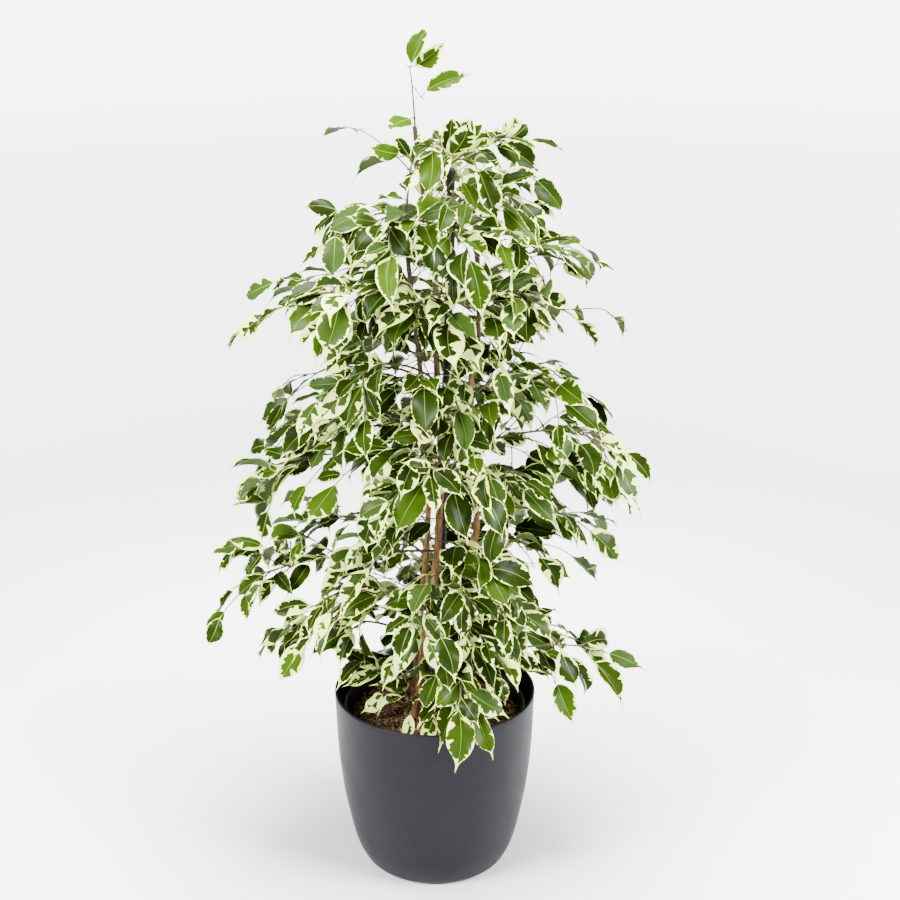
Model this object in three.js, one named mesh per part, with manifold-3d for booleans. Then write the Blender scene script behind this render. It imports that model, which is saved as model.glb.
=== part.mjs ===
// A weeping fig in its pot. Three thin stems and a stake stand in the soil of a nursery pot, which
// stands inside a deep planter. Millimetres, +Z up, the front towards -Y, and the origin at the middle
// of the planter's base.

import * as THREE from 'three';
import { mergeVertices } from 'three/addons/utils/BufferGeometryUtils.js';
import Module from 'manifold-3d';

// Driving dimensions of the pots and the soil. An outline is a list of [radius, height].
const clearance = 0.3;
const planter = {
  outline: [[80, 0], [87, 2.5], [92, 9], [101, 30], [110, 69], [117, 110], [122, 160], [125, 232]],
  wall: 3.6,
  floor: 4,
  sides: 32,
};
const nurseryPot = { baseRadius: 78, rimRadius: 112, rimHeight: 213, wall: 1.6, lipReach: 2.4, lipDrop: 9, sides: 24 };
const soil = { top: 199, edgeDrop: 5, bumps: 2.2, rings: 5 };

// The stake and the stems: each point is [x, y, z, radius].
const stake = {
  points: [[3, 3, 40, 5], [4, 4, 200, 5], [8, 6, 375, 5], [14, 8, 595, 5], [20, 10, 814, 5], [21, 10, 892, 5],
    [21, 10, 897, 2.6]],
  sides: 10,
};
const stems = {
  front: [[-34, -10, 118, 5.2], [-24, -10, 204, 5], [-12, -10, 304, 4.8], [1, -10, 393, 4.6], [6, -9, 470, 4.3],
    [8, -8, 536, 4], [5, -6, 620, 3.7], [2, -5, 705, 3.5], [1, -4, 790, 3.2], [-8, -4, 850, 3],
    [-16, -3, 905, 2.8], [-21, -2, 948, 2.6]],
  right: [[16, -30, 118, 5], [22, -28, 200, 4.8], [31, -20, 282, 4.6], [43, -15, 409, 4.2], [51, -13, 460, 4],
    [46, -6, 545, 3.7], [43, 0, 630, 3.5], [52, 0, 698, 3.2], [52, 4, 770, 3], [44, 8, 870, 2.6]],
  back: [[-30, 30, 118, 4.2], [-27, 28, 200, 4], [-18, 30, 320, 3.8], [-8, 32, 440, 3.5], [-10, 34, 560, 3.2],
    [-20, 32, 680, 3], [-30, 28, 780, 2.8], [-34, 26, 850, 2.6]],
};
const stemSides = 7;

// The sprays that the front and the sides show: the stem each grows from, the height it leaves it at,
// how far its arch rises over its end, the end of its twig, and the tip of its last leaf.
const shownSprays = [
  ['front', 940, 0, [-26, -1, 1013], [-1, 0, 1067]],
  ['front', 895, 4, [-36, -12, 915], [-77, -10, 928]],
  ['front', 872, 15, [102, 0, 931], [155, 0, 916]],
  ['front', 862, 18, [19, -40, 918], [-23, -60, 910]],
  ['right', 845, 18, [117, 10, 882], [148, 10, 862]],
  ['back', 815, 22, [-108, 10, 843], [-154, 10, 849]],
  ['front', 800, 25, [-60, -50, 846], [-98, -60, 860]],
  ['front', 828, 25, [41, -60, 871], [-31, -80, 858]],
  ['right', 765, 28, [181, 0, 788], [219, 0, 769]],
  ['right', 790, 25, [19, -70, 834], [8, -85, 785]],
  ['right', 695, 28, [165, -5, 721], [192, -10, 675]],
  ['back', 735, 28, [-188, 0, 727], [-230, 0, 684]],
  ['front', 728, 28, [-124, -40, 754], [-166, -60, 707]],
  ['right', 725, 25, [110, -60, 755], [138, -80, 731]],
  ['back', 632, 28, [-106, 10, 632], [-159, 10, 632]],
  ['front', 640, 28, [-90, -80, 668], [-137, -100, 624]],
  ['right', 620, 28, [147, 20, 641], [186, 20, 631]],
  ['right', 600, 30, [143, -60, 644], [201, -75, 596]],
  ['front', 600, 26, [25, -90, 608], [51, -105, 570]],
  ['back', 570, 30, [-164, 60, 569], [-208, 60, 540]],
  ['front', 545, 34, [-208, 10, 521], [-243, 10, 465]],
  ['right', 560, 34, [226, 0, 555], [266, 0, 503]],
  ['right', 475, 30, [182, -20, 461], [227, -25, 412]],
  ['front', 532, 28, [-8, -120, 565], [-46, -140, 498]],
  ['front', 505, 28, [21, -115, 556], [42, -140, 488]],
  ['right', 510, 28, [99, -95, 545], [146, -120, 500]],
  ['front', 395, 28, [34, -110, 411], [34, -130, 362]],
  ['front', 358, 28, [-25, -110, 379], [-42, -130, 329]],
  ['right', 325, 28, [43, -95, 347], [75, -125, 283]],
  ['right', 420, 30, [130, -40, 429], [169, -50, 402]],
  ['right', 262, 26, [30, -128, 281], [24, -152, 196]],
  ['front', 425, 36, [-245, 0, 371], [-270, 0, 324]],
  ['front', 345, 30, [-141, -60, 375], [-203, -70, 364]],
  ['front', 300, 30, [-156, -70, 335], [-192, -90, 282]],
  ['back', 322, 30, [-178, -10, 318], [-219, -20, 296]],
  ['right', 275, 26, [211, -10, 288], [264, -20, 265]],
  ['right', 362, 28, [96, -70, 375], [146, -90, 339]],
];

// Side shoots that show: the spray they are on, how far along its twig they start, their own end and
// the tip of their last leaf.
const shownShoots = [
  [0, 0.55, [-14, -2, 982], [42, 0, 1003]],
  [2, 0.7, [84, 12, 926], [110, 22, 948]],
  [3, 0.6, [24, -34, 928], [22, -20, 968]],
  [4, 0.5, [70, -35, 880], [127, -50, 908]],
  [5, 0.6, [-104, -20, 828], [-119, -20, 790]],
  [9, 0.55, [62, -64, 812], [44, -68, 770]],
  [13, 0.5, [76, -66, 722], [121, -84, 712]],
  [17, 0.5, [82, -72, 655], [116, -84, 680]],
  [18, 0.5, [-32, -64, 618], [-34, -66, 560]],
  [21, 0.75, [208, -30, 548], [237, -28, 500]],
  [23, 0.8, [2, -124, 580], [-40, -138, 594]],
  [25, 0.65, [78, -105, 512], [66, -125, 451]],
  [28, 0.7, [12, -96, 345], [19, -122, 287]],
  [29, 0.6, [118, -72, 434], [78, -92, 424]],
  [30, 0.75, [46, -124, 277], [74, -150, 214]],
  [31, 0.75, [-204, -40, 403], [-226, -52, 366]],
  [33, 0.5, [-84, -72, 308], [-118, -102, 280]],
  [35, 0.8, [191, -34, 294], [236, -52, 226]],
  [35, 0.5, [146, -62, 276], [172, -82, 221]],
];

// The sprays round the back follow a rule: evenly up the crown, and out to its outline, which is a list
// of [height, reach].
const backSprays = { count: 15, lowest: 285, highest: 880, turn: 0.618, firstAngle: 20, sweep: 148, sideLimit: 75 };
const crown = [[250, 150], [330, 186], [450, 192], [560, 184], [680, 156], [780, 124], [860, 84], [920, 44]];
const crownAxis = new THREE.Vector3(10, 0, 0);

// Twigs and leaves.
const mainTwig = { steps: 5, sides: 3, rootRadius: 1.9, endRadius: 1, firstLeaf: 0.16, lastLeaf: 0.9, leafSpacing: 25 };
const sideTwig = { steps: 2, sides: 3, rootRadius: 0.8, endRadius: 0.8, firstLeaf: 0.2, lastLeaf: 0.85, leafSpacing: 22 };
const sideShoots = { spacing: 95, first: 0.25, last: 0.88, length: [55, 105] };
const leafSize = { length: [42, 70], thickness: 0.7, tested: 2, sink: 2.5 };
const leafOutline = { base: 0.25, baseWidth: 0.2, shoulder: 0.62, shoulderWidth: 0.185 };
const tries = { main: 24, side: 10, leaf: 6, shift: 4 };

// How twigs and leaves grow. A pair is the range of a draw, and each share is of a length or a direction.
const mainHabit = { near: 0.28, far: 0.78, nearClimb: 0.5, nearRise: 0.8, sway: 0.08, moreSway: 0.015 };
const sideHabit = {
  near: 0.3, far: 0.75, start: 0.12, rise: 0.14, sway: 4,
  forward: [0.5, 0.8], sideways: [0.4, 0.9], climb: [0.1, -0.4], tipForward: 0.6, tipDrop: [-0.3, -1],
};
const endLeafHabit = { up: [0.5, 0.9], outwards: 0.5, roll: 0.3, curl: [0.4, 0.9] };
const leafHabit = {
  forward: [0.35, 0.65], sideways: [0.45, 0.85], outwards: 0.3, drop: [-0.2, -0.95],
  up: 0.6, look: [0.2, 0.8], roll: 0.4, curl: [0.35, 0.95],
};
const backHabit = { rise: 30, rootDrop: 12, tipOut: 30, tipDrop: 36, highestRoot: { right: 850, back: 830 } };
const frontLight = { half: 30, turn: 0.5 };

const wasm = await Module();
wasm.setup();

const vector = ([x, y, z]) => new THREE.Vector3(x, y, z);
const up = new THREE.Vector3(0, 0, 1);
const mix = (a, b, t) => a + (b - a) * t;
const between = (a, b, t) => new THREE.Vector3().lerpVectors(a, b, t);
const within = ([first, last], draw) => mix(first, last, draw());
const either = (size, draw) => mix(-size, size, draw());
const radians = (degrees) => (degrees * Math.PI) / 180;

// A seeded draw of numbers from 0 to 1, one stream for each choice, by the minimal standard generator.
function drawer(...choice) {
  const modulus = 2147483647;
  let state = choice.reduce((sum, value) => (sum * 131 + value + 7) % modulus, 1);
  const draw = () => {
    state = (state * 16807) % modulus;
    return state / modulus;
  };
  for (let i = 0; i < 3; i += 1) draw();
  return draw;
}

// Solids from closed geometry, and back.
function solidOf(geometry) {
  geometry.deleteAttribute('normal');
  geometry.deleteAttribute('uv');
  const merged = mergeVertices(geometry, 1e-4);
  const index = merged.getIndex().array;
  const triVerts = [];
  for (let i = 0; i < index.length; i += 3) {
    const [a, b, c] = [index[i], index[i + 1], index[i + 2]];
    if (a !== b && b !== c && c !== a) triVerts.push(a, b, c);
  }
  const vertProperties = new Float32Array(merged.getAttribute('position').array);
  return new wasm.Manifold(new wasm.Mesh({ numProp: 3, vertProperties, triVerts: new Uint32Array(triVerts) }));
}

function geometryOf(solid) {
  const { vertProperties, triVerts } = solid.getMesh();
  const geometry = new THREE.BufferGeometry();
  geometry.setAttribute('position', new THREE.BufferAttribute(vertProperties, 3));
  geometry.setIndex(new THREE.BufferAttribute(triVerts, 1));
  geometry.computeVertexNormals();
  return geometry;
}

// A line through points, whose stations are the points themselves.
class Polyline extends THREE.Curve {
  constructor(points) {
    super();
    this.points = points;
  }

  getPoint(t, target = new THREE.Vector3()) {
    const place = t * (this.points.length - 1);
    const i = Math.min(Math.floor(place), this.points.length - 2);
    return target.lerpVectors(this.points[i], this.points[i + 1], place - i);
  }

  getUtoTmapping(u) {
    return u;
  }
}

// A tapered tube: a section of unit radius swept along the points, then scaled at each of them.
function tube(points, radii, sides) {
  const section = new THREE.Shape();
  for (let i = 0; i < sides; i += 1) {
    const angle = (i / sides) * Math.PI * 2;
    const place = [Math.cos(angle), Math.sin(angle)];
    if (i === 0) section.moveTo(...place);
    else section.lineTo(...place);
  }
  const geometry = new THREE.ExtrudeGeometry(section, {
    steps: points.length - 1,
    bevelEnabled: false,
    extrudePath: new Polyline(points),
  });
  const position = geometry.getAttribute('position');
  const corner = new THREE.Vector3();
  for (let i = 0; i < position.count; i += 1) {
    corner.fromBufferAttribute(position, i);
    const distances = points.map((point) => point.distanceTo(corner));
    const nearest = distances.indexOf(Math.min(...distances));
    corner.sub(points[nearest]).multiplyScalar(radii[nearest]).add(points[nearest]);
    position.setXYZ(i, corner.x, corner.y, corner.z);
  }
  return solidOf(geometry);
}

function turned(profile, sides) {
  const geometry = new THREE.LatheGeometry(profile.map(([x, y]) => new THREE.Vector2(x, y)), sides);
  return geometry.rotateX(Math.PI / 2);
}

// The planter: a deep round shell that swells from its foot, with a half-round rim.
function planterSolid() {
  const { outline, wall, floor, sides } = planter;
  const [rimRadius, rimHeight] = outline[outline.length - 1];
  const rim = [];
  const rimSteps = 4;
  for (let i = 1; i < rimSteps; i += 1) {
    const angle = (i / rimSteps) * Math.PI;
    rim.push([rimRadius - (wall / 2) * (1 - Math.cos(angle)), rimHeight + (wall / 2) * Math.sin(angle)]);
  }
  const inside = outline.filter(([, height]) => height > floor + wall).map(([r, height]) => [r - wall, height]);
  const floorRadius = outline[2][0] - 2 * wall;
  const profile = [[0, 0], ...outline, ...rim, ...inside.reverse(), [floorRadius, floor], [0, floor]];
  return solidOf(turned(profile, sides));
}

// The nursery pot: a thin tapered shell with a turned-out lip, standing on the planter's floor.
const nurseryFloor = planter.floor + clearance;
const nurseryRadius = (height) => {
  const { baseRadius, rimRadius, rimHeight } = nurseryPot;
  return mix(baseRadius, rimRadius, (height - nurseryFloor) / (rimHeight - nurseryFloor));
};

function nurserySolid() {
  const { baseRadius, rimRadius, rimHeight, wall, lipReach, lipDrop, sides } = nurseryPot;
  const underLip = rimHeight - lipDrop;
  const profile = [
    [0, nurseryFloor], [baseRadius, nurseryFloor], [nurseryRadius(underLip), underLip],
    [rimRadius + lipReach, underLip], [rimRadius + lipReach, rimHeight - 1], [rimRadius + lipReach - 1, rimHeight],
    [rimRadius - wall, rimHeight], [baseRadius - wall, nurseryFloor + wall], [0, nurseryFloor + wall],
  ];
  return solidOf(turned(profile, sides));
}

// The soil: it fills the nursery pot, with an uneven top.
const soilBump = (x, y) => soil.bumps * (Math.sin(x / 17 + 1) * Math.cos(y / 13) + 0.6 * Math.sin((x + y) / 9));

function soilSolid() {
  const { top, edgeDrop, rings } = soil;
  const inside = (height) => nurseryRadius(height) - nurseryPot.wall - 2 * clearance;
  const bottom = nurseryFloor + nurseryPot.wall + clearance;
  const edge = top - edgeDrop;
  const profile = [[0, bottom], [inside(bottom), bottom], [inside(edge), edge]];
  for (let i = 1; i <= rings; i += 1) profile.push([inside(edge) * (1 - i / rings), top]);
  const geometry = turned(profile, nurseryPot.sides);
  const position = geometry.getAttribute('position');
  for (let i = 0; i < position.count; i += 1) {
    if (position.getZ(i) > edge + 1) {
      position.setZ(i, position.getZ(i) + soilBump(position.getX(i), position.getY(i)));
    }
  }
  return solidOf(geometry);
}

// Stems and stake, and the wider solids that leave a clearance round them.
const stemTube = (points, sides, extra) => tube(points.map(vector), points.map((p) => p[3] + extra), sides);

function pointOnStem(points, height) {
  const i = points.findIndex((point, k) => k > 0 && point[2] >= height) - 1;
  const [low, high] = [points[i], points[i + 1]];
  return between(vector(low), vector(high), (height - low[2]) / (high[2] - low[2]));
}

// A twig's stations, on a cubic Bezier curve.
function arch(root, near, far, end, steps) {
  const curve = new THREE.CubicBezierCurve3(root, near, far, end);
  return curve.getPoints(steps);
}

function stationAt(points, along) {
  const place = along * (points.length - 1);
  const i = Math.min(Math.floor(place), points.length - 2);
  const direction = points[i + 1].clone().sub(points[i]).normalize();
  return { point: between(points[i], points[i + 1], place - i), direction };
}

const lengthOf = (points) => points.slice(1).reduce((sum, point, i) => sum + point.distanceTo(points[i]), 0);
const outwards = (point) => point.clone().sub(crownAxis).setZ(0).normalize();

// A leaf is given by its root, its tip, the way that its upper face looks and how far it arches over.
function bladeAxes({ root, tip, facing, curl }) {
  const chord = tip.clone().sub(root);
  const length = (chord.length() * curl) / 2 / Math.sin(curl / 2);
  chord.normalize();
  const lift = facing.clone().addScaledVector(chord, -facing.dot(chord)).normalize();
  const turn = curl / 2;
  const along = chord.clone().multiplyScalar(Math.cos(turn)).addScaledVector(lift, Math.sin(turn));
  const normal = lift.multiplyScalar(Math.cos(turn)).addScaledVector(chord, -Math.sin(turn));
  return { along, normal, across: along.clone().cross(normal), length };
}

// The blade: a pointed leaf in three arched panels, alike on both faces, with a shared root and tip.
function blade(leaf, thickness) {
  const { along, normal, across, length } = bladeAxes(leaf);
  const corners = [leaf.root, leaf.tip];
  const rows = [[leafOutline.base, leafOutline.baseWidth], [leafOutline.shoulder, leafOutline.shoulderWidth]];
  for (const [place, width] of rows) {
    const turn = leaf.curl * place;
    const middle = leaf.root.clone()
      .addScaledVector(along, (length * Math.sin(turn)) / leaf.curl)
      .addScaledVector(normal, (-length * (1 - Math.cos(turn))) / leaf.curl);
    const lift = normal.clone().multiplyScalar(Math.cos(turn)).addScaledVector(along, Math.sin(turn));
    for (const side of [-1, 1]) {
      for (const face of [1, -1]) {
        corners.push(middle.clone().addScaledVector(across, side * width * length)
          .addScaledVector(lift, (face * thickness) / 2));
      }
    }
  }
  const [root, tip, leftTop, leftUnder, rightTop, rightUnder, leftTopEnd, leftUnderEnd, rightTopEnd, rightUnderEnd] =
    corners.map((_, i) => i);
  const geometry = new THREE.BufferGeometry().setFromPoints(corners);
  geometry.setIndex([
    root, rightTop, leftTop, leftTop, rightTop, rightTopEnd, leftTop, rightTopEnd, leftTopEnd,
    leftTopEnd, rightTopEnd, tip,
    root, leftUnder, rightUnder, leftUnder, rightUnderEnd, rightUnder, leftUnder, leftUnderEnd, rightUnderEnd,
    leftUnderEnd, tip, rightUnderEnd,
    root, rightUnder, rightTop, rightTop, rightUnder, rightUnderEnd, rightTop, rightUnderEnd, rightTopEnd,
    rightTopEnd, rightUnderEnd, tip,
    root, leftTop, leftUnder, leftTop, leftTopEnd, leftUnderEnd, leftTop, leftUnderEnd, leftUnder,
    leftTopEnd, tip, leftUnderEnd,
  ]);
  return solidOf(geometry);
}

// Leaves of the front half turn to the front, where the light comes from, and the rest look outwards.
const turnToFront = (facing, point) => facing.setY(facing.y - (point.y < frontLight.half ? frontLight.turn : 0));

// The last leaf of a shoot goes on from its twig's end to a given tip.
function endLeaf(points, tip, draw) {
  const habit = endLeafHabit;
  const { direction } = stationAt(points, 1);
  const end = points[points.length - 1];
  const facing = up.clone().multiplyScalar(within(habit.up, draw)).addScaledVector(outwards(end), habit.outwards);
  facing.x += either(habit.roll, draw);
  facing.y += either(habit.roll, draw);
  turnToFront(facing, end);
  const root = end.clone().addScaledVector(direction, -leafSize.sink);
  return { root, tip, facing, curl: within(habit.curl, draw) };
}

// A leaf beside a twig points on, out and down, to the left or right in turn.
function sideLeaf(points, along, side, draw) {
  const habit = leafHabit;
  const { point, direction } = stationAt(points, along);
  const beside = direction.clone().cross(up).normalize();
  const way = direction.clone().multiplyScalar(within(habit.forward, draw))
    .addScaledVector(beside, side * within(habit.sideways, draw))
    .addScaledVector(outwards(point), habit.outwards)
    .addScaledVector(up, within(habit.drop, draw))
    .normalize();
  const tip = point.clone().addScaledVector(way, within(leafSize.length, draw));
  const facing = up.clone().multiplyScalar(habit.up)
    .addScaledVector(outwards(point), within(habit.look, draw))
    .addScaledVector(beside, either(habit.roll, draw));
  turnToFront(facing, point);
  return { root: point, tip, facing, curl: within(habit.curl, draw) };
}

// The main shoot of a spray leaves its stem, arches over and ends in a leaf.
function mainShoot(spray, number, attempt) {
  const draw = drawer(number, 0, 0, attempt);
  const [stem, height, rise, apex, tip] = spray;
  const shift = tries.shift * Math.ceil(attempt / 2) * (attempt % 2 ? 1 : -1);
  const stemTop = stems[stem][stems[stem].length - 1][2];
  const root = pointOnStem(stems[stem], Math.min(height + shift, stemTop - tries.shift));
  const end = vector(apex);
  const over = end.clone().sub(root).setZ(0);
  const beside = new THREE.Vector3(-over.y, over.x, 0);
  const habit = mainHabit;
  const sway = habit.sway + habit.moreSway * attempt;
  const climb = end.z - root.z;
  const near = root.clone().addScaledVector(over, habit.near).addScaledVector(beside, either(sway, draw));
  const far = root.clone().addScaledVector(over, habit.far).addScaledVector(beside, either(sway, draw));
  near.z += habit.nearClimb * climb + habit.nearRise * rise;
  far.z += climb + rise;
  const points = arch(root, near, far, end, mainTwig.steps);
  return { twig: mainTwig, points, leaf: endLeaf(points, vector(tip), draw) };
}

// A side shoot starts from the main twig and ends in a leaf, at a given place or where its draw puts it.
function sideShoot(parent, along, end, tip, draw) {
  const habit = sideHabit;
  const { point, direction } = stationAt(parent.points, along);
  const over = end.clone().sub(point);
  const length = over.length();
  const near = point.clone().addScaledVector(over, habit.near).addScaledVector(direction, habit.start * length);
  const far = point.clone().addScaledVector(over, habit.far).addScaledVector(up, habit.rise * length);
  near.x += either(habit.sway, draw);
  near.y += either(habit.sway, draw);
  const points = arch(point, near, far, end, sideTwig.steps);
  return { twig: sideTwig, points, leaf: endLeaf(points, tip, draw) };
}

function shownShoot(parent, row, number, attempt) {
  const [spray, along, end, tip] = row;
  return sideShoot(parent, along, vector(end), vector(tip), drawer(spray, number, 1, attempt));
}

function drawnShoot(parent, spray, number, count, attempt) {
  const habit = sideHabit;
  const draw = drawer(spray, number, 2, attempt);
  const along = mix(sideShoots.first, sideShoots.last, (number + draw()) / count);
  const { point, direction } = stationAt(parent.points, along);
  const beside = direction.clone().cross(up).normalize().multiplyScalar(number % 2 ? 1 : -1);
  const way = direction.clone().multiplyScalar(within(habit.forward, draw))
    .addScaledVector(beside, within(habit.sideways, draw))
    .addScaledVector(up, within(habit.climb, draw))
    .normalize();
  const end = point.clone().addScaledVector(way, within(sideShoots.length, draw));
  const drop = way.clone().multiplyScalar(habit.tipForward).addScaledVector(up, within(habit.tipDrop, draw))
    .normalize();
  const tip = end.clone().addScaledVector(drop, within(leafSize.length, draw));
  return sideShoot(parent, along, end, tip, draw);
}

function backSpray(k) {
  const { count, lowest, highest, turn, firstAngle, sweep, sideLimit } = backSprays;
  const habit = backHabit;
  const height = mix(lowest, highest, k / (count - 1));
  const angle = firstAngle + sweep * ((k * turn) % 1);
  const next = crown.findIndex(([level]) => level > height);
  const [low, high] = [crown[next - 1], crown[next]];
  const reach = mix(low[1], high[1], (height - low[0]) / (high[0] - low[0]));
  const way = new THREE.Vector3(Math.cos(radians(angle)), Math.sin(radians(angle)), 0);
  const apex = crownAxis.clone().addScaledVector(way, reach).setZ(height);
  const tip = apex.clone().addScaledVector(way, habit.tipOut).addScaledVector(up, -habit.tipDrop);
  const stem = angle < sideLimit ? 'right' : 'back';
  const rootHeight = Math.min(height - habit.rootDrop, habit.highestRoot[stem]);
  return [stem, rootHeight, habit.rise, apex.toArray(), tip.toArray()];
}

// Everything that is in place already, with its box, so that what comes next is put clear of it.
const placed = [];
const boxOf = (solid) => {
  const { min, max } = solid.boundingBox();
  return new THREE.Box3(vector(min), vector(max));
};
const place = (solid, owner) => placed.push({ solid, owner, box: boxOf(solid) });

function clearOf(solid, owner) {
  const box = boxOf(solid);
  return placed.every((other) => other.owner === owner || !other.box.intersectsBox(box)
    || solid.intersect(other.solid).isEmpty());
}

const twigTube = (shoot, extra) => {
  const { steps, sides, rootRadius, endRadius } = shoot.twig;
  return tube(shoot.points, shoot.points.map((_, i) => mix(rootRadius, endRadius, i / steps) + extra), sides);
};

// The first attempt at a shoot or a leaf that is clear of everything but what it grows from.
function grow(make, attempts, owner, parent) {
  for (let attempt = 0; attempt < attempts; attempt += 1) {
    const shoot = make(attempt);
    const body = twigTube(shoot, 2 * clearance);
    const leaf = blade(shoot.leaf, leafSize.tested);
    if (clearOf(body, parent) && clearOf(leaf, owner)) {
      place(twigTube(shoot, 0), owner);
      place(blade(shoot.leaf, leafSize.thickness), `${owner} leaf`);
      return { ...shoot, owner };
    }
  }
  return null;
}

function growLeaf(shoot, along, side, choice) {
  for (let attempt = 0; attempt < tries.leaf; attempt += 1) {
    const leaf = sideLeaf(shoot.points, along, side, drawer(...choice, attempt));
    if (clearOf(blade(leaf, leafSize.tested), shoot.owner)) {
      const solid = blade(leaf, leafSize.thickness);
      place(solid, `${shoot.owner} leaf`);
      return;
    }
  }
}

const planterPart = planterSolid();
const nurseryPart = nurserySolid();
const stakePart = stemTube(stake.points, stake.sides, 0);
const stemParts = Object.entries(stems).map(([name, points]) => [name, stemTube(points, stemSides, 0)]);
const soilPart = [stake, ...Object.values(stems).map((points) => ({ points, sides: stemSides }))]
  .reduce((body, { points, sides }) => body.subtract(stemTube(points, sides, clearance)), soilSolid());

place(planterPart, 'planter');
place(nurseryPart, 'nursery_pot');
place(soilPart, 'soil');
place(stakePart, 'stake');
for (const [name, solid] of stemParts) place(solid, name);

const sprays = [...shownSprays];
for (let k = 0; k < backSprays.count; k += 1) sprays.push(backSpray(k));

// The main shoots come first, then the side shoots, then every other leaf place along them.
const shootsOf = sprays.map((spray, number) => {
  const name = `spray ${number}`;
  const main = grow((attempt) => mainShoot(spray, number, attempt), tries.main, `${name} main`, spray[0]);
  if (!main) throw new Error(`${name} finds no room`);
  return [main];
});

shootsOf.forEach((shoots, number) => {
  const [main] = shoots;
  const name = `spray ${number}`;
  const shown = shownShoots.filter(([spray]) => spray === number);
  shown.forEach((row, k) => {
    const shoot = grow((attempt) => shownShoot(main, row, k, attempt), tries.side, `${name} shown ${k}`, main.owner);
    if (shoot) shoots.push({ ...shoot, number: k + 1 });
  });
  const count = Math.round(lengthOf(main.points) / sideShoots.spacing);
  for (let k = shown.length; k < count; k += 1) {
    const shoot = grow((attempt) => drawnShoot(main, number, k, count, attempt), tries.side, `${name} side ${k}`,
      main.owner);
    if (shoot) shoots.push({ ...shoot, number: k + 1 });
  }
});

shootsOf.forEach((shoots, number) => {
  for (const shoot of shoots) {
    const { firstLeaf, lastLeaf, leafSpacing } = shoot.twig;
    const places = Math.round((lengthOf(shoot.points) * (lastLeaf - firstLeaf)) / leafSpacing);
    for (let k = 0; k < places; k += 2) {
      const along = mix(firstLeaf, lastLeaf, k / Math.max(places - 1, 1));
      growLeaf(shoot, along, k % 4 ? 1 : -1, [number, shoot.number ?? 0, 3, k]);
    }
  }
});

// A spray is one solid: its twigs and leaves, cut off where they meet the stem.
const stemClear = Object.fromEntries(
  Object.entries(stems).map(([name, points]) => [name, stemTube(points, stemSides, clearance)]),
);
const sprayParts = sprays.map((spray, number) => {
  const pieces = placed.filter(({ owner }) => owner.startsWith(`spray ${number} `));
  const whole = pieces.slice(1).reduce((body, { solid }) => body.add(solid), pieces[0].solid);
  return whole.subtract(stemClear[spray[0]]);
});

// Colours, roughness and metalness of each material.
const finish = (color, roughness) => new THREE.MeshStandardMaterial({ color, roughness, metalness: 0 });
const planterPlastic = finish(0x3b3f48, 0.45);
const blackPlastic = finish(0x17181a, 0.55);
const peat = finish(0x4a3224, 0.95);
const bark = finish(0x8a6444, 0.8);
const leafGreen = finish(0x5f8a3c, 0.4);

const plant = new THREE.Group();
const addPart = (name, solid, material) => {
  const mesh = new THREE.Mesh(geometryOf(solid), material);
  mesh.name = name;
  plant.add(mesh);
};

addPart('planter', planterPart, planterPlastic);
addPart('nursery_pot', nurseryPart, blackPlastic);
addPart('soil', soilPart, peat);
addPart('stake', stakePart, blackPlastic);
for (const [name, solid] of stemParts) addPart(`stem_${name}`, solid, bark);
sprayParts.forEach((solid, number) => addPart(`spray_${String(number + 1).padStart(2, '0')}`, solid, leafGreen));

export default plant;
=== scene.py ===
import math

import bpy
import numpy as np
from mathutils import Matrix, Vector, noise
from mathutils.bvhtree import BVHTree
from mathutils.kdtree import KDTree


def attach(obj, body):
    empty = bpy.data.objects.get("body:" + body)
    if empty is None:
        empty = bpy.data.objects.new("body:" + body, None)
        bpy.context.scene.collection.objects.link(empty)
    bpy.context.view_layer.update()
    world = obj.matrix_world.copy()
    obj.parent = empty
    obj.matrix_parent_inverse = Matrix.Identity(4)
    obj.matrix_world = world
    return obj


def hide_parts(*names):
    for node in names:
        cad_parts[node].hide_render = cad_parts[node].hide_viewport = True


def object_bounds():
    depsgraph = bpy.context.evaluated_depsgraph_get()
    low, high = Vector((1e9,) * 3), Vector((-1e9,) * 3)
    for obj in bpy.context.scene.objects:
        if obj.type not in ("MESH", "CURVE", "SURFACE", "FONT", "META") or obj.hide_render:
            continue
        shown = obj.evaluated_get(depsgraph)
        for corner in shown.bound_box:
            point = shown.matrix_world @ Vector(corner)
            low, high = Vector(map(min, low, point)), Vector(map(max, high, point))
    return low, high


# A weeping fig in its pot, dressed. The leafy sprays are grown again by the rules that grew their
# solids, each with finer leaves and twigs, and the leaves that the solids leave out are grown between
# them. Plans are in millimetres and the scene is in metres, +Z up, the front towards -Y.

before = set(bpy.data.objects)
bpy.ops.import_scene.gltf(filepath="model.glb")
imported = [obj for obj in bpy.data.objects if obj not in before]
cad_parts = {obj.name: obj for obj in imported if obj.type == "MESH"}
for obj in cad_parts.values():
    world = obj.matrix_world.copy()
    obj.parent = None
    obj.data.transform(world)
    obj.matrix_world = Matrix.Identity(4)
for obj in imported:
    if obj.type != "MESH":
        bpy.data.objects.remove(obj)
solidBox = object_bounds()
mm = 0.001

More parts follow.
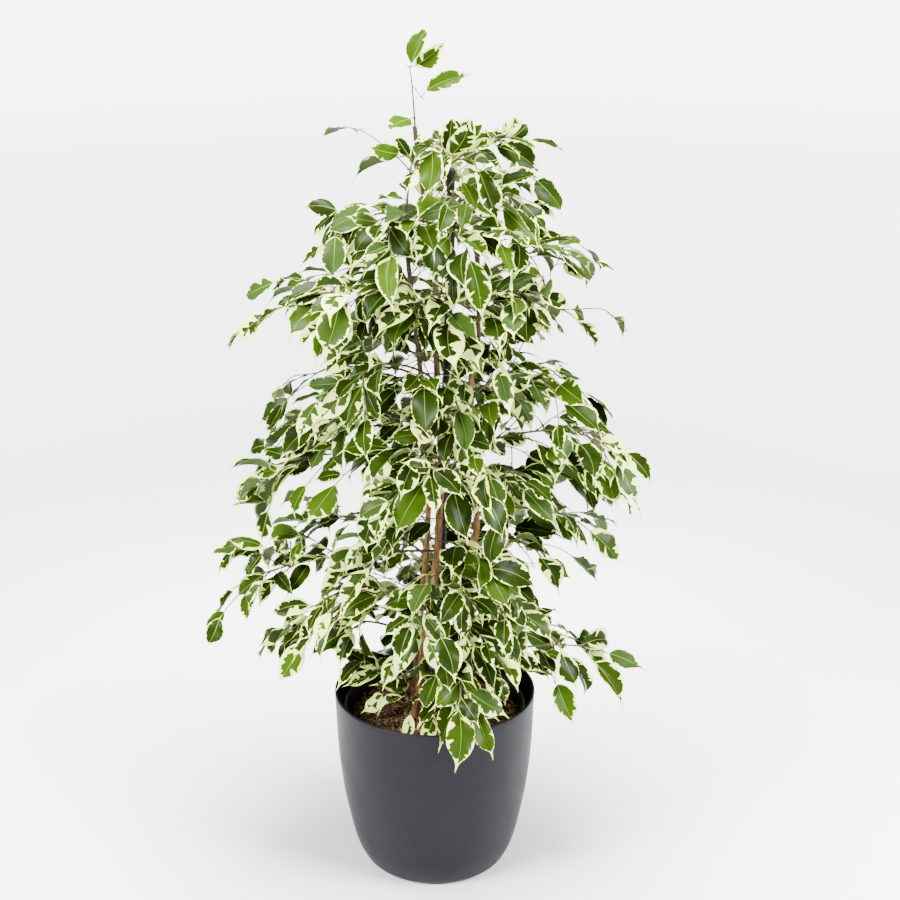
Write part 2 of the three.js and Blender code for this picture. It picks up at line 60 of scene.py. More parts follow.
# Pots and soil. An outline is a list of [radius, height].
clearance = 0.3
planter = {
    "outline": [(80, 0), (87, 2.5), (92, 9), (101, 30), (110, 69), (117, 110), (122, 160), (125, 232)],
    "wall": 3.6,
    "floor": 4,
    "baseRing": 40,
    "footRing": (84.4, 0.5),
    "sideSteps": 7,
    "rimSteps": 10,
    "sides": 144,
}
nurseryPot = {
    "baseRadius": 78, "rimRadius": 112, "rimHeight": 213, "wall": 1.6, "lipReach": 2.4, "lipDrop": 9,
    "edge": 1, "lipEdge": 0.4, "lipTop": 0.3, "innerEdge": 0.5, "innerDrop": 2, "sides": 96,
}
soil = {
    "top": 199, "edgeDrop": 5, "edgeWidth": 14, "cornerDrop": 4, "bumps": 2.2, "bumpSizes": (17, 13, 9),
    "bumpShift": 1, "slantedBumps": 0.6, "lumps": 3.2, "lumpSize": 9, "lumpPlace": 4.1,
    "lumpRoughness": (0.9, 2.1, 4), "rings": 46, "sides": 120,
}

# The stake and the stems: each point is [x, y, z, radius].
stakePoints = [
    (3, 3, 40, 5), (4, 4, 200, 5), (8, 6, 375, 5), (14, 8, 595, 5), (20, 10, 814, 5), (21, 10, 892, 5),
    (21, 10, 897, 2.6),
]
stems = {
    "front": [
        (-34, -10, 118, 5.2), (-24, -10, 204, 5), (-12, -10, 304, 4.8), (1, -10, 393, 4.6), (6, -9, 470, 4.3),
        (8, -8, 536, 4), (5, -6, 620, 3.7), (2, -5, 705, 3.5), (1, -4, 790, 3.2), (-8, -4, 850, 3),
        (-16, -3, 905, 2.8), (-21, -2, 948, 2.6),
    ],
    "right": [
        (16, -30, 118, 5), (22, -28, 200, 4.8), (31, -20, 282, 4.6), (43, -15, 409, 4.2), (51, -13, 460, 4),
        (46, -6, 545, 3.7), (43, 0, 630, 3.5), (52, 0, 698, 3.2), (52, 4, 770, 3), (44, 8, 870, 2.6),
    ],
    "back": [
        (-30, 30, 118, 4.2), (-27, 28, 200, 4), (-18, 30, 320, 3.8), (-8, 32, 440, 3.5), (-10, 34, 560, 3.2),
        (-20, 32, 680, 3), (-30, 28, 780, 2.8), (-34, 26, 850, 2.6),
    ],
}

# The sprays that the front and the sides show: the stem each grows from, the height it leaves it at,
# how far its arch rises over its end, the end of its twig, and the tip of its last leaf.
shownSprays = [
    ("front", 940, 0, (-26, -1, 1013), (-1, 0, 1067)),
    ("front", 895, 4, (-36, -12, 915), (-77, -10, 928)),
    ("front", 872, 15, (102, 0, 931), (155, 0, 916)),
    ("front", 862, 18, (19, -40, 918), (-23, -60, 910)),
    ("right", 845, 18, (117, 10, 882), (148, 10, 862)),
    ("back", 815, 22, (-108, 10, 843), (-154, 10, 849)),
    ("front", 800, 25, (-60, -50, 846), (-98, -60, 860)),
    ("front", 828, 25, (41, -60, 871), (-31, -80, 858)),
    ("right", 765, 28, (181, 0, 788), (219, 0, 769)),
    ("right", 790, 25, (19, -70, 834), (8, -85, 785)),
    ("right", 695, 28, (165, -5, 721), (192, -10, 675)),
    ("back", 735, 28, (-188, 0, 727), (-230, 0, 684)),
    ("front", 728, 28, (-124, -40, 754), (-166, -60, 707)),
    ("right", 725, 25, (110, -60, 755), (138, -80, 731)),
    ("back", 632, 28, (-106, 10, 632), (-159, 10, 632)),
    ("front", 640, 28, (-90, -80, 668), (-137, -100, 624)),
    ("right", 620, 28, (147, 20, 641), (186, 20, 631)),
    ("right", 600, 30, (143, -60, 644), (201, -75, 596)),
    ("front", 600, 26, (25, -90, 608), (51, -105, 570)),
    ("back", 570, 30, (-164, 60, 569), (-208, 60, 540)),
    ("front", 545, 34, (-208, 10, 521), (-243, 10, 465)),
    ("right", 560, 34, (226, 0, 555), (266, 0, 503)),
    ("right", 475, 30, (182, -20, 461), (227, -25, 412)),
    ("front", 532, 28, (-8, -120, 565), (-46, -140, 498)),
    ("front", 505, 28, (21, -115, 556), (42, -140, 488)),
    ("right", 510, 28, (99, -95, 545), (146, -120, 500)),
    ("front", 395, 28, (34, -110, 411), (34, -130, 362)),
    ("front", 358, 28, (-25, -110, 379), (-42, -130, 329)),
    ("right", 325, 28, (43, -95, 347), (75, -125, 283)),
    ("right", 420, 30, (130, -40, 429), (169, -50, 402)),
    ("right", 262, 26, (30, -128, 281), (24, -152, 196)),
    ("front", 425, 36, (-245, 0, 371), (-270, 0, 324)),
    ("front", 345, 30, (-141, -60, 375), (-203, -70, 364)),
    ("front", 300, 30, (-156, -70, 335), (-192, -90, 282)),
    ("back", 322, 30, (-178, -10, 318), (-219, -20, 296)),
    ("right", 275, 26, (211, -10, 288), (264, -20, 265)),
    ("right", 362, 28, (96, -70, 375), (146, -90, 339)),
]

# Side shoots that show: the spray they are on, how far along its twig they start, their own end and
# the tip of their last leaf.
shownShoots = [
    (0, 0.55, (-14, -2, 982), (42, 0, 1003)),
    (2, 0.7, (84, 12, 926), (110, 22, 948)),
    (3, 0.6, (24, -34, 928), (22, -20, 968)),
    (4, 0.5, (70, -35, 880), (127, -50, 908)),
    (5, 0.6, (-104, -20, 828), (-119, -20, 790)),
    (9, 0.55, (62, -64, 812), (44, -68, 770)),
    (13, 0.5, (76, -66, 722), (121, -84, 712)),
    (17, 0.5, (82, -72, 655), (116, -84, 680)),
    (18, 0.5, (-32, -64, 618), (-34, -66, 560)),
    (21, 0.75, (208, -30, 548), (237, -28, 500)),
    (23, 0.8, (2, -124, 580), (-40, -138, 594)),
    (25, 0.65, (78, -105, 512), (66, -125, 451)),
    (28, 0.7, (12, -96, 345), (19, -122, 287)),
    (29, 0.6, (118, -72, 434), (78, -92, 424)),
    (30, 0.75, (46, -124, 277), (74, -150, 214)),
    (31, 0.75, (-204, -40, 403), (-226, -52, 366)),
    (33, 0.5, (-84, -72, 308), (-118, -102, 280)),
    (35, 0.8, (191, -34, 294), (236, -52, 226)),
    (35, 0.5, (146, -62, 276), (172, -82, 221)),
]

# The sprays round the back follow a rule: evenly up the crown, and out to its outline, which is a list
# of [height, reach].
backSprays = {
    "count": 15, "lowest": 285, "highest": 880, "turn": 0.618, "firstAngle": 20, "sweep": 148,
    "sideLimit": 75, "rise": 30, "rootDrop": 12, "tipOut": 30, "tipDrop": 36,
    "highestRoot": {"right": 850, "back": 830},
}
crown = [(250, 150), (330, 186), (450, 192), (560, 184), (680, 156), (780, 124), (860, 84), (920, 44)]
crownAxis = Vector((10, 0, 0))

# Twigs and leaves, as the solids have them. A pair is the range of a draw.
mainTwig = {"steps": 5, "firstLeaf": 0.16, "lastLeaf": 0.9, "leafSpacing": 25}
sideTwig = {"steps": 2, "firstLeaf": 0.2, "lastLeaf": 0.85, "leafSpacing": 22}
sideShoots = {"spacing": 95, "first": 0.25, "last": 0.88, "length": (55, 105)}
solidLeaf = {"length": (42, 70), "thickness": 0.7, "sink": 2.5, "shoulder": 0.62, "shoulderWidth": 0.185}
tries = {"main": 24, "side": 10, "leaf": 6, "shift": 4}
mainHabit = {"near": 0.28, "far": 0.78, "nearClimb": 0.5, "nearRise": 0.8, "sway": 0.08, "moreSway": 0.015}
sideHabit = {
    "near": 0.3, "far": 0.75, "start": 0.12, "rise": 0.14, "sway": 4,
    "forward": (0.5, 0.8), "sideways": (0.4, 0.9), "climb": (0.1, -0.4),
    "tipForward": 0.6, "tipDrop": (-0.3, -1),
}
endLeafHabit = {"up": (0.5, 0.9), "outwards": 0.5, "roll": 0.3, "curl": (0.4, 0.9)}
leafHabit = {
    "forward": (0.35, 0.65), "sideways": (0.45, 0.85), "outwards": 0.3, "drop": (-0.2, -0.95),
    "up": 0.6, "look": (0.2, 0.8), "roll": 0.4, "curl": (0.35, 0.95),
}
frontLight = {"half": 30, "turn": 0.5}

# The shoots and leaves that the solids leave out: twigs between the side shoots, and short shoots
# along the stems, which fill the middle of the crown.
extraTwig = {"steps": 4, "firstLeaf": 0.14, "lastLeaf": 0.88, "leafSpacing": 15}
extraShoots = {
    "spacing": 34, "first": 0.1, "last": 0.97, "length": (30, 78), "leaf": (50, 84), "tries": 9, "bare": (0,),
    "fuller": (10, 17, 19, 20, 21, 22, 31), "fullSpacing": 24,
}
# Of the seeds that were tried, this one leaves the crown's cover closest to what the front shows.
growthSeed = 17

# The number of each kind of choice, which keeps its draws apart from those of the others.
choices = {
    "main": 0, "shown": 1, "drawn": 2, "leaf": 3, "between": 4, "extra": 5, "inner": 6, "bud": 7,
    "dress": (5, 8), "stem": (9, 1), "extraLeaves": 10, "innerLeaves": 11, "placed": 12, "placedLeaves": 13,
    "low": 15, "lowLeaves": 16, "nudge": 17, "lowNudge": 1, "placedNudge": 2, "crumbs": (4, 4, 2),
}

# Added shoots that show clearly: the spray, how far along its twig, their own end, the tip of their last
# leaf.
moreShoots = [
    (31, 0.74, (-236, 4, 424), (-262, 0, 384)), (31, 0.62, (-204, -24, 434), (-232, -34, 396)),
    (8, 0.42, (126, -12, 778), (137, -22, 736)), (8, 0.5, (117, -20, 816), (163, -25, 798)),
    (8, 0.66, (140, 14, 782), (182, 16, 756)), (8, 0.33, (94, -40, 836), (136, -48, 833)),
    (21, 0.8, (206, -16, 536), (208, -24, 484)),
    (10, 0.44, (118, -40, 760), (160, -52, 745)), (12, 0.35, (-40, -62, 735), (-56, -76, 695)),
    (12, 0.2, (-24, -50, 742), (-36, -72, 706)), (21, 0.72, (203, 12, 522), (216, 4, 470)),
    (21, 0.55, (172, -22, 530), (192, -32, 480)), (20, 0.86, (-202, -14, 486), (-214, -20, 438)),
    (20, 0.7, (-205, -10, 515), (-236, -16, 490)), (20, 0.5, (-112, -30, 560), (-136, -44, 540)),
    (31, 0.45, (-160, -14, 446), (-176, -28, 412)), (35, 0.3, (112, -34, 272), (156, -44, 264)),
    (36, 0.8, (126, -70, 378), (146, -84, 345)), (22, 0.6, (160, -30, 482), (186, -40, 440)),
    (22, 0.45, (146, -34, 492), (170, -48, 452)),
]
# Single leaves that show clearly: the spray, the shoot on it, how far along that, the tip, the way the
# upper face looks, and how creamy it is. The first is on the leader, which has few.
moreLeaves = [
    (0, 0, 0.95, (18, -20, 1058), (0.6, -0.7, 0.2), 0.8),
    (3, 0, 0.93, (24, -44, 977), (0.1, -0.9, 0.4), 0.5),
    (2, 0, 0.62, (121, -24, 896), (-0.1, -0.6, 0.8), 0.3),
    (2, 0, 0.38, (62, -6, 957), (-0.5, -0.6, 0.5), 0.3),
    (2, 0, 0.8, (104, -22, 962), (-0.2, -0.7, 0.6), 0.9),
    (1, 0, 0.45, (-46, 6, 940), (-0.3, -0.4, 0.8), 0.4),
    (2, 1, 0.55, (82, -12, 962), (0.1, -0.8, 0.4), 0.9),
    (2, 1, 0.3, (66, -34, 936), (-0.2, -0.6, 0.7), 0.5),
    (2, 1, 0.7, (126, -6, 930), (0.2, -0.5, 0.8), 0.5),
    (31, 0, 0.8, (-246, -20, 365), (-0.2, -0.8, 0.5), 0.3),
    (31, 0, 0.72, (-216, -24, 352), (-0.5, -0.7, 0.3), 0.8),
    (10, 0, 0.55, (136, -30, 704), (0.1, -0.9, 0.3), 0.5),
    (3, 0, 0.85, (-22, -30, 916), (-0.2, -0.8, 0.5), 0.4),
    (3, 0, 0.97, (46, -40, 962), (0.2, -0.9, 0.3), 0.7),
    (3, 1, 0.9, (54, -18, 970), (0.3, -0.7, 0.6), 0.3),
    (3, 1, 0.6, (-4, -14, 950), (-0.4, -0.7, 0.5), 0.3),
]
leaderForm = {"slim": 0.7, "cream": 0.5, "seeds": (0.0715, 0.2175, 0.2905, 0.1445)}
leaderSide = {"longer": 0.15, "width": 0.78}
# Short shoots of the stems that show, most of them low over the soil: the stem, how high they start,
# their end and the tip of the last leaf.
lowShoots = [
    ("front", 236, (-65, -15, 261), (-116, -15, 240)), ("front", 230, (-62, -24, 238), (-95, -28, 212)),
    ("front", 250, (3, -88, 246), (-18, -104, 209)), ("front", 228, (-28, -76, 240), (-38, -90, 206)),
    ("front", 262, (8, -66, 290), (-13, -76, 234)), ("front", 224, (-34, -46, 244), (-72, -60, 222)),
    ("right", 250, (30, -80, 264), (82, -84, 232)), ("right", 262, (72, -52, 276), (90, -62, 234)),
    ("front", 244, (-50, 24, 262), (-84, 44, 236)), ("front", 765, (22, -62, 800), (26, -80, 748)),
]
lowRise = 6
# Where a placed shoot or leaf finds no room, it is nudged a little, forwards or back above all.
nudges = {"tries": 30, "across": 5, "depth": 30, "lowDepth": 14, "along": 0.08, "height": 9}
moreLeafCurl = 0.5
innerTwig = {"steps": 4, "firstLeaf": 0.22, "lastLeaf": 0.9, "leafSpacing": 16}
innerShoots = {
    "spacing": 12.5, "lowest": 262, "turn": 137.5, "retryTurn": 47, "spread": 30,
    "share": (0.3, 0.72), "rise": (6, 34), "drop": (-30, 14), "belowTop": 8,
    "topFrom": 780, "topSpacing": 8, "topShare": (0.45, 1.2), "topDrop": (0, 75),
    "leaf": (48, 82), "near": 0.3, "far": 0.8, "tipForward": 0.5, "tipDrop": (-0.2, -0.9), "tries": 10,
}
# The added leaves look every way, and above highFrom more outwards. They keep within the crown's outline
# as the front shows it, which is a list of [height, left, right], and the gaps that show there stay open:
# [across, height, radius]. What stands further back shows higher.
lowHabit = {
    "forward": (0.25, 0.85), "sideways": (0.4, 1.0), "outwards": 0.6, "drop": (0.3, -0.95),
    "up": 0.8, "look": (-0.4, 0.8), "roll": 1.0, "curl": (0.35, 1.4), "front": 0.16,
}
highHabit = {
    "forward": (0.4, 1.1), "sideways": (0.3, 0.95), "outwards": 0.95, "drop": (0.3, -0.6),
    "up": 1.1, "look": (-0.5, 0.5), "roll": 0.8, "curl": (0.35, 1.4), "front": 0.08,
}
highFrom = 600
frontOutline = [
    (200, -150, 150), (230, -160, 160), (271, -204, 237), (313, -215, 190), (354, -240, 125),
    (395, -280, 154), (435, -256, 195), (475, -250, 228), (514, -252, 238), (553, -245, 248),
    (591, -185, 225), (629, -146, 184), (668, -133, 149), (705, -150, 135), (741, -216, 175),
    (778, -166, 205), (814, -136, 185), (849, -118, 135), (873, -60, 150), (908, -50, 135),
    (935, -38, 118), (955, -10, 75), (968, 10, 35), (975, 14, 15),
]
frontGaps = [
    (116, 909, 13), (94, 917, 9), (-33, 882, 11), (-60, 866, 10), (126, 838, 9), (143, 761, 8),
    (164, 750, 12), (-182, 699, 11), (-145, 689, 8), (-32, 656, 8), (-12, 653, 8), (175, 630, 8),
    (138, 603, 9), (-156, 602, 9), (102, 544, 9), (250, 510, 12), (163, 496, 11), (231, 488, 8),
    (-108, 482, 10), (-227, 463, 12), (221, 460, 8), (161, 405, 14), (-59, 394, 10), (138, 373, 13),
    (-151, 365, 14), (-197, 359, 12), (-216, 338, 12), (-162, 326, 10), (-179, 324, 9), (-202, 317, 12),
    (154, 308, 11), (-77, 304, 14), (-189, 611, 14), (-120, 494, 15), (97, 572, 12), (137, 292, 12),
    (175, 258, 12), (-160, 334, 12), (-199, 292, 12), (-195, 415, 12), (-152, 648, 12), (242, 494, 12),
    (-44, 902, 12), (-114, 234, 20), (-80, 218, 20), (-46, 206, 18), (98, 226, 16), (132, 686, 12),
    (138, 224, 16), (172, 262, 10), (-153, 232, 14), (-158, 262, 12),
]
backShift = 0.398
outlineReach = 6

up = Vector((0, 0, 1))


def mix(a, b, t):
    return a + (b - a) * t


def within(pair, draw):
    return mix(pair[0], pair[1], draw())


def either(size, draw):
    return mix(-size, size, draw())


def rounded(value):
    return math.floor(value + 0.5)


# A seeded draw of numbers from 0 to 1, one stream for each choice, by the minimal standard generator.
def drawer(*choice):
    modulus = 2147483647
    multiplier = 16807
    choiceFactor = 131
    choiceShift = 7
    warmUps = 3
    state = 1
    for value in choice:
        state = (state * choiceFactor + value + choiceShift) % modulus

    def draw():
        nonlocal state
        state = state * multiplier % modulus
        return state / modulus

    for _ in range(warmUps):
        draw()
    return draw


# Growth, as the solids were grown.
def pointOnStem(points, height):
    i = next(k for k in range(1, len(points)) if points[k][2] >= height) - 1
    low = Vector(points[i][:3])
    high = Vector(points[i + 1][:3])
    return low.lerp(high, (height - low.z) / (high.z - low.z))


def curveAt(curve, t):
    root, near, far, end = curve
    s = 1 - t
    return root * s ** 3 + near * (3 * s * s * t) + far * (3 * s * t * t) + end * t ** 3


def stationAt(points, along):
    place = along * (len(points) - 1)
    i = min(math.floor(place), len(points) - 2)
    direction = (points[i + 1] - points[i]).normalized()
    return points[i].lerp(points[i + 1], place - i), direction


def lengthOf(points):
    return sum((b - a).length for a, b in zip(points, points[1:]))


def outwards(point):
    return Vector((point.x - crownAxis.x, point.y - crownAxis.y, 0)).normalized()


def turnToFront(facing, point, turn=frontLight["turn"]):
    if point.y < frontLight["half"]:
        facing.y -= turn


def shootAlong(twig, curve, tip, draw):
    points = [curveAt(curve, i / twig["steps"]) for i in range(twig["steps"] + 1)]
    return {"twig": twig, "curve": curve, "points": points, "leaf": endLeaf(points, tip, draw)}


def endLeaf(points, tip, draw):
    habit = endLeafHabit
    direction = stationAt(points, 1)[1]
    end = points[-1]
    facing = up * within(habit["up"], draw) + outwards(end) * habit["outwards"]
    facing.x += either(habit["roll"], draw)
    facing.y += either(habit["roll"], draw)
    turnToFront(facing, end)
    root = end - direction * solidLeaf["sink"]
    return {"root": root, "tip": tip, "facing": facing, "curl": within(habit["curl"], draw), "along": 1}


def sideLeaf(points, along, side, draw, lengths=solidLeaf["length"], habit=leafHabit):
    point, direction = stationAt(points, along)
    beside = direction.cross(up).normalized()
    way = direction * within(habit["forward"], draw)
    way += beside * (side * within(habit["sideways"], draw))
    way += outwards(point) * habit["outwards"]
    way += up * within(habit["drop"], draw)
    tip = point + way.normalized() * within(lengths, draw)
    facing = up * habit["up"] + outwards(point) * within(habit["look"], draw)
    facing = facing + beside * either(habit["roll"], draw)
    turnToFront(facing, point, habit.get("front", frontLight["turn"]))
    return {"root": point, "tip": tip, "facing": facing, "curl": within(habit["curl"], draw), "along": along}


def mainShoot(spray, number, attempt):
    draw = drawer(number, 0, choices["main"], attempt)
    stem, height, rise, apex, tip = spray
    shift = tries["shift"] * math.ceil(attempt / 2) * (1 if attempt % 2 else -1)
    stemTop = stems[stem][-1][2]
    root = pointOnStem(stems[stem], min(height + shift, stemTop - tries["shift"]))
    end = Vector(apex)
    over = Vector((end.x - root.x, end.y - root.y, 0))
    beside = Vector((-over.y, over.x, 0))
    habit = mainHabit
    sway = habit["sway"] + habit["moreSway"] * attempt
    climb = end.z - root.z
    near = root + over * habit["near"] + beside * either(sway, draw)
    far = root + over * habit["far"] + beside * either(sway, draw)
    near.z += habit["nearClimb"] * climb + habit["nearRise"] * rise
    far.z += climb + rise
    return shootAlong(mainTwig, (root, near, far, end), Vector(tip), draw)


def sideShoot(parent, along, end, tip, draw, twig=sideTwig):
    habit = sideHabit
    point, direction = stationAt(parent["points"], along)
    over = end - point
    length = over.length
    near = point + over * habit["near"] + direction * (habit["start"] * length)
    far = point + over * habit["far"] + up * (habit["rise"] * length)
    near.x += either(habit["sway"], draw)
    near.y += either(habit["sway"], draw)
    return shootAlong(twig, (point, near, far, end), tip, draw)


def shownShoot(parent, row, number, attempt):
    spray, along, end, tip = row
    draw = drawer(spray, number, choices["shown"], attempt)
    return sideShoot(parent, along, Vector(end), Vector(tip), draw)


def drawnShoot(parent, number, count, draw, plan, leafLengths, twig=sideTwig):
    habit = sideHabit
    along = mix(plan["first"], plan["last"], (number + draw()) / count)
    point, direction = stationAt(parent["points"], along)
    beside = direction.cross(up).normalized() * (1 if number % 2 else -1)
    way = direction * within(habit["forward"], draw)
    way += beside * within(habit["sideways"], draw)
    way += up * within(habit["climb"], draw)
    way.normalize()
    end = point + way * within(plan["length"], draw)
    drop = (way * habit["tipForward"] + up * within(habit["tipDrop"], draw)).normalized()
    tip = end + drop * within(leafLengths, draw)
    return sideShoot(parent, along, end, tip, draw, twig)


def backSpray(k):
    plan = backSprays
    height = mix(plan["lowest"], plan["highest"], k / (plan["count"] - 1))
    angle = plan["firstAngle"] + plan["sweep"] * ((k * plan["turn"]) % 1)
    reach = crownReach(height)
    way = Vector((math.cos(math.radians(angle)), math.sin(math.radians(angle)), 0))
    apex = crownAxis + way * reach + up * height
    tip = apex + way * plan["tipOut"] - up * plan["tipDrop"]
    stem = "right" if angle < plan["sideLimit"] else "back"
    root = min(height - plan["rootDrop"], plan["highestRoot"][stem])
    return stem, root, plan["rise"], tuple(apex), tuple(tip)


def crownReach(height):
    heights = [level for level, _ in crown]
    return float(np.interp(height, heights, [reach for _, reach in crown]))


# A leaf's own directions: along its blade at the root, out of its upper face, and across.
def bladeAxes(leaf):
    chord = leaf["tip"] - leaf["root"]
    curl = leaf["curl"]
    length = chord.length * curl / 2 / math.sin(curl / 2)
    chord.normalize()
    facing = leaf["facing"]
    lift = (facing - chord * facing.dot(chord)).normalized()
    turn = curl / 2
    along = chord * math.cos(turn) + lift * math.sin(turn)
    normal = lift * math.cos(turn) - chord * math.sin(turn)
    return along, normal, along.cross(normal), length


# The shoulder corners of a leaf's solid, by which it is found in its spray's mesh.
def shoulderCorners(leaf):
    along, normal, across, length = bladeAxes(leaf)
    turn = leaf["curl"] * solidLeaf["shoulder"]
    middle = leaf["root"] + along * (length * math.sin(turn) / leaf["curl"])
    middle -= normal * (length * (1 - math.cos(turn)) / leaf["curl"])
    lift = normal * math.cos(turn) + along * math.sin(turn)
    half = solidLeaf["shoulderWidth"] * length
    thick = solidLeaf["thickness"] / 2
    return [middle + across * (side * half) + lift * (face * thick) for side in (-1, 1) for face in (-1, 1)]


def cornersOf(node):
    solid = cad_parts[node]
    tree = KDTree(len(solid.data.vertices))
    for i, vertex in enumerate(solid.data.vertices):
        tree.insert(solid.matrix_world @ vertex.co / mm, i)
    tree.balance()
    return tree


def isIn(corners, leaf):
    near = 0.05
    return all(corners.find(corner)[2] < near for corner in shoulderCorners(leaf))


def firstIn(corners, make, attempts):
    for attempt in range(attempts):
        found = make(attempt)
        if isIn(corners, found.get("leaf", found)):
            return found
    return None


# A spray as its solid has it: its main shoot, side shoots and leaves.
def growSpray(spray, number):
    corners = cornersOf(f"spray_{number + 1:02d}")
    main = firstIn(corners, lambda attempt: mainShoot(spray, number, attempt), tries["main"])
    shoots = [dict(main, number=0)]
    shown = [row for row in shownShoots if row[0] == number]
    for k, row in enumerate(shown):
        shoot = firstIn(corners, lambda attempt: shownShoot(main, row, k, attempt), tries["side"])
        if shoot:
            shoots.append(dict(shoot, number=k + 1))
    count = rounded(lengthOf(main["points"]) / sideShoots["spacing"])

    def drawn(attempt):
        draw = drawer(number, k, choices["drawn"], attempt)
        return drawnShoot(main, k, count, draw, sideShoots, solidLeaf["length"])

    for k in range(len(shown), count):
        shoot = firstIn(corners, drawn, tries["side"])
        if shoot:
            shoots.append(dict(shoot, number=k + 1))

    def beside(attempt):
        draw = drawer(number, shoot["number"], choices["leaf"], k, attempt)
        return sideLeaf(shoot["points"], along, side, draw)

    for shoot in shoots:
        shoot["leaves"] = [shoot["leaf"]]
        for k, along, side in leafPlaces(shoot, 0):
            leaf = firstIn(corners, beside, tries["leaf"])
            if leaf:
                shoot["leaves"].append(leaf)
    return shoots


# The even places of a shoot hold the leaves of the solids, and the odd ones those between them. Each
# of the two sets goes from side to side.
def leafPlaces(shoot, first):
    twig = shoot["twig"]
    places = rounded(lengthOf(shoot["points"]) * (twig["lastLeaf"] - twig["firstLeaf"]) / twig["leafSpacing"])
    for k in range(first, places, 2):
        along = mix(twig["firstLeaf"], twig["lastLeaf"], k / max(places - 1, 1))
        yield k, along, (1 if k % 4 in (1, 2) else -1)


# Fine leaves. Every leaf has the same rows and columns, and the two faces share their edge.
# The outline is the half width along the blade, as a share of the widest.
bladeOutline = [
    (0, 0.04), (0.025, 0.25), (0.07, 0.49), (0.14, 0.74), (0.22, 0.9), (0.31, 0.985), (0.41, 1),
    (0.51, 0.94), (0.59, 0.83), (0.66, 0.64), (0.72, 0.41), (0.765, 0.22), (0.81, 0.115), (0.87, 0.062),
    (0.935, 0.036), (1, 0.012),
]
rowShares = np.array([share for share, _ in bladeOutline])
columnShares = np.array([-1, -0.68, -0.34, 0, 0.34, 0.68, 1])
middleColumn = len(columnShares) // 2
leafForm = {
    "stalk": 0.13, "halfWidth": 0.255, "thickness": 0.32, "fullFrom": 1, "ridge": 0.55, "ridgeEnd": 0.35,
    "tipFrom": 0.66, "twistFrom": 0.35, "waveLag": 2.1, "waveWidth": 6,
}
leafDraws = {
    "fold": (0.03, 0.8), "wave": (0.3, 2.6), "waves": (1.2, 3), "twist": 0.8, "sag": (-0.1, 0.4),
    "width": (0.84, 1.1), "bow": 0.09, "lean": (0.85, 1.2), "roll": 0.35, "tipDrop": (0.01, 0.13),
    "tipTurn": 0.07, "creamPower": 1.35,
}


def halfWidths(shares, length, form):
    outline = np.interp(shares ** form["lean"], rowShares, [width for _, width in bladeOutline])
    return outline * leafForm["halfWidth"] * form["width"] * length


# The places of a leaf's points: the rows and columns of its middle surface, and their upward direction.
def bladeSurface(leaf, rows, columns):
    form = leaf["form"]
    along, normal, across, length = (np.array(v) for v in bladeAxes(leaf))
    curl = leaf["curl"]
    stalk = leafForm["stalk"]
    place = (stalk + (1 - stalk) * rows)[:, None]
    turn = curl * place
    middle = np.array(leaf["root"]) + along * (length * np.sin(turn) / curl)
    middle = middle - normal * (length * (1 - np.cos(turn)) / curl)
    lift = normal * np.cos(turn) + along * np.sin(turn)
    blade = (1 - stalk) * length
    twist = form["roll"] + form["twist"] * (rows[:, None] - leafForm["twistFrom"])
    beside = across * np.cos(twist) + lift * np.sin(twist)
    raised = lift * np.cos(twist) - across * np.sin(twist)
    half = halfWidths(rows, blade, form)
    middle = middle + beside * (form["bow"] * blade * np.sin(np.pi * rows))[:, None]
    towardsTip = (np.maximum(rows - leafForm["tipFrom"], 0) / (1 - leafForm["tipFrom"]))[:, None] ** 2 * blade
    middle = middle + (beside * form["tipTurn"] - raised * form["tipDrop"]) * towardsTip
    reach = half[:, None] * columns[None, :]
    lag = (columns[None, :] > 0) * leafForm["waveLag"]
    ripple = np.sin(2 * np.pi * form["waves"] * rows[:, None] + form["phase"] + lag)
    narrow = np.minimum(half / leafForm["waveWidth"], 1)[:, None]
    height = np.abs(reach) * math.sin(form["fold"]) - form["sag"] * columns[None, :] ** 2 * half[:, None]
    height = height + form["wave"] * columns[None, :] ** 2 * ripple * narrow
    points = middle[:, None, :] + beside[:, None, :] * (reach * math.cos(form["fold"]))[:, :, None]
    return points + raised[:, None, :] * height[:, :, None], raised, half, blade


def formOf(draw, cream):
    plan = leafDraws
    return {
        "fold": within(plan["fold"], draw), "wave": within(plan["wave"], draw),
        "waves": within(plan["waves"], draw), "phase": draw() * 2 * math.pi,
        "twist": either(plan["twist"], draw), "sag": within(plan["sag"], draw),
        "width": within(plan["width"], draw), "bow": either(plan["bow"], draw),
        "seed": draw(), "cream": cream, "lean": within(plan["lean"], draw),
        "roll": either(plan["roll"], draw), "tipDrop": within(plan["tipDrop"], draw),
        "tipTurn": either(plan["tipTurn"], draw),
    }


# The faces of a leaf's upper and lower side, which share the points of its edge.
def gridFaces(rows, columns, underOrder):
    top = []
    under = []
    total = rows * columns

    def underIndex(row, column):
        if row in (0, rows - 1) or column in (0, columns - 1):
            return row * columns + column
        return total + (row - 1) * (columns - 2) + column - 1

    for row in range(rows - 1):
        for column in range(columns - 1):
            spots = [(row, column), (row, column + 1), (row + 1, column + 1), (row + 1, column)]
            top.append(tuple(r * columns + c for r, c in spots))
            under.append(tuple(underIndex(*spots[i]) for i in underOrder))
    return top, under


# The lower faces start at the same corner as the upper ones, so that both are split into triangles alike.
topOrder = (0, 1, 2, 3)
underOrder = (0, 3, 2, 1)
topFaces, underFaces = gridFaces(len(rowShares), len(columnShares), underOrder)

# A leaf is tested for room with fewer rows and columns, and a twig as a plain thin tube.
testRows = rowShares[[0, 3, 5, 7, 9, 11, 15]]
testColumns = np.array([-1, 0, 1])
testTop, testUnder = gridFaces(len(testRows), len(testColumns), topOrder[::-1])
testFaces = testTop + testUnder
testThickness = 1.4
testTwig = {"steps": 5, "radius": 1.2, "sides": 3}


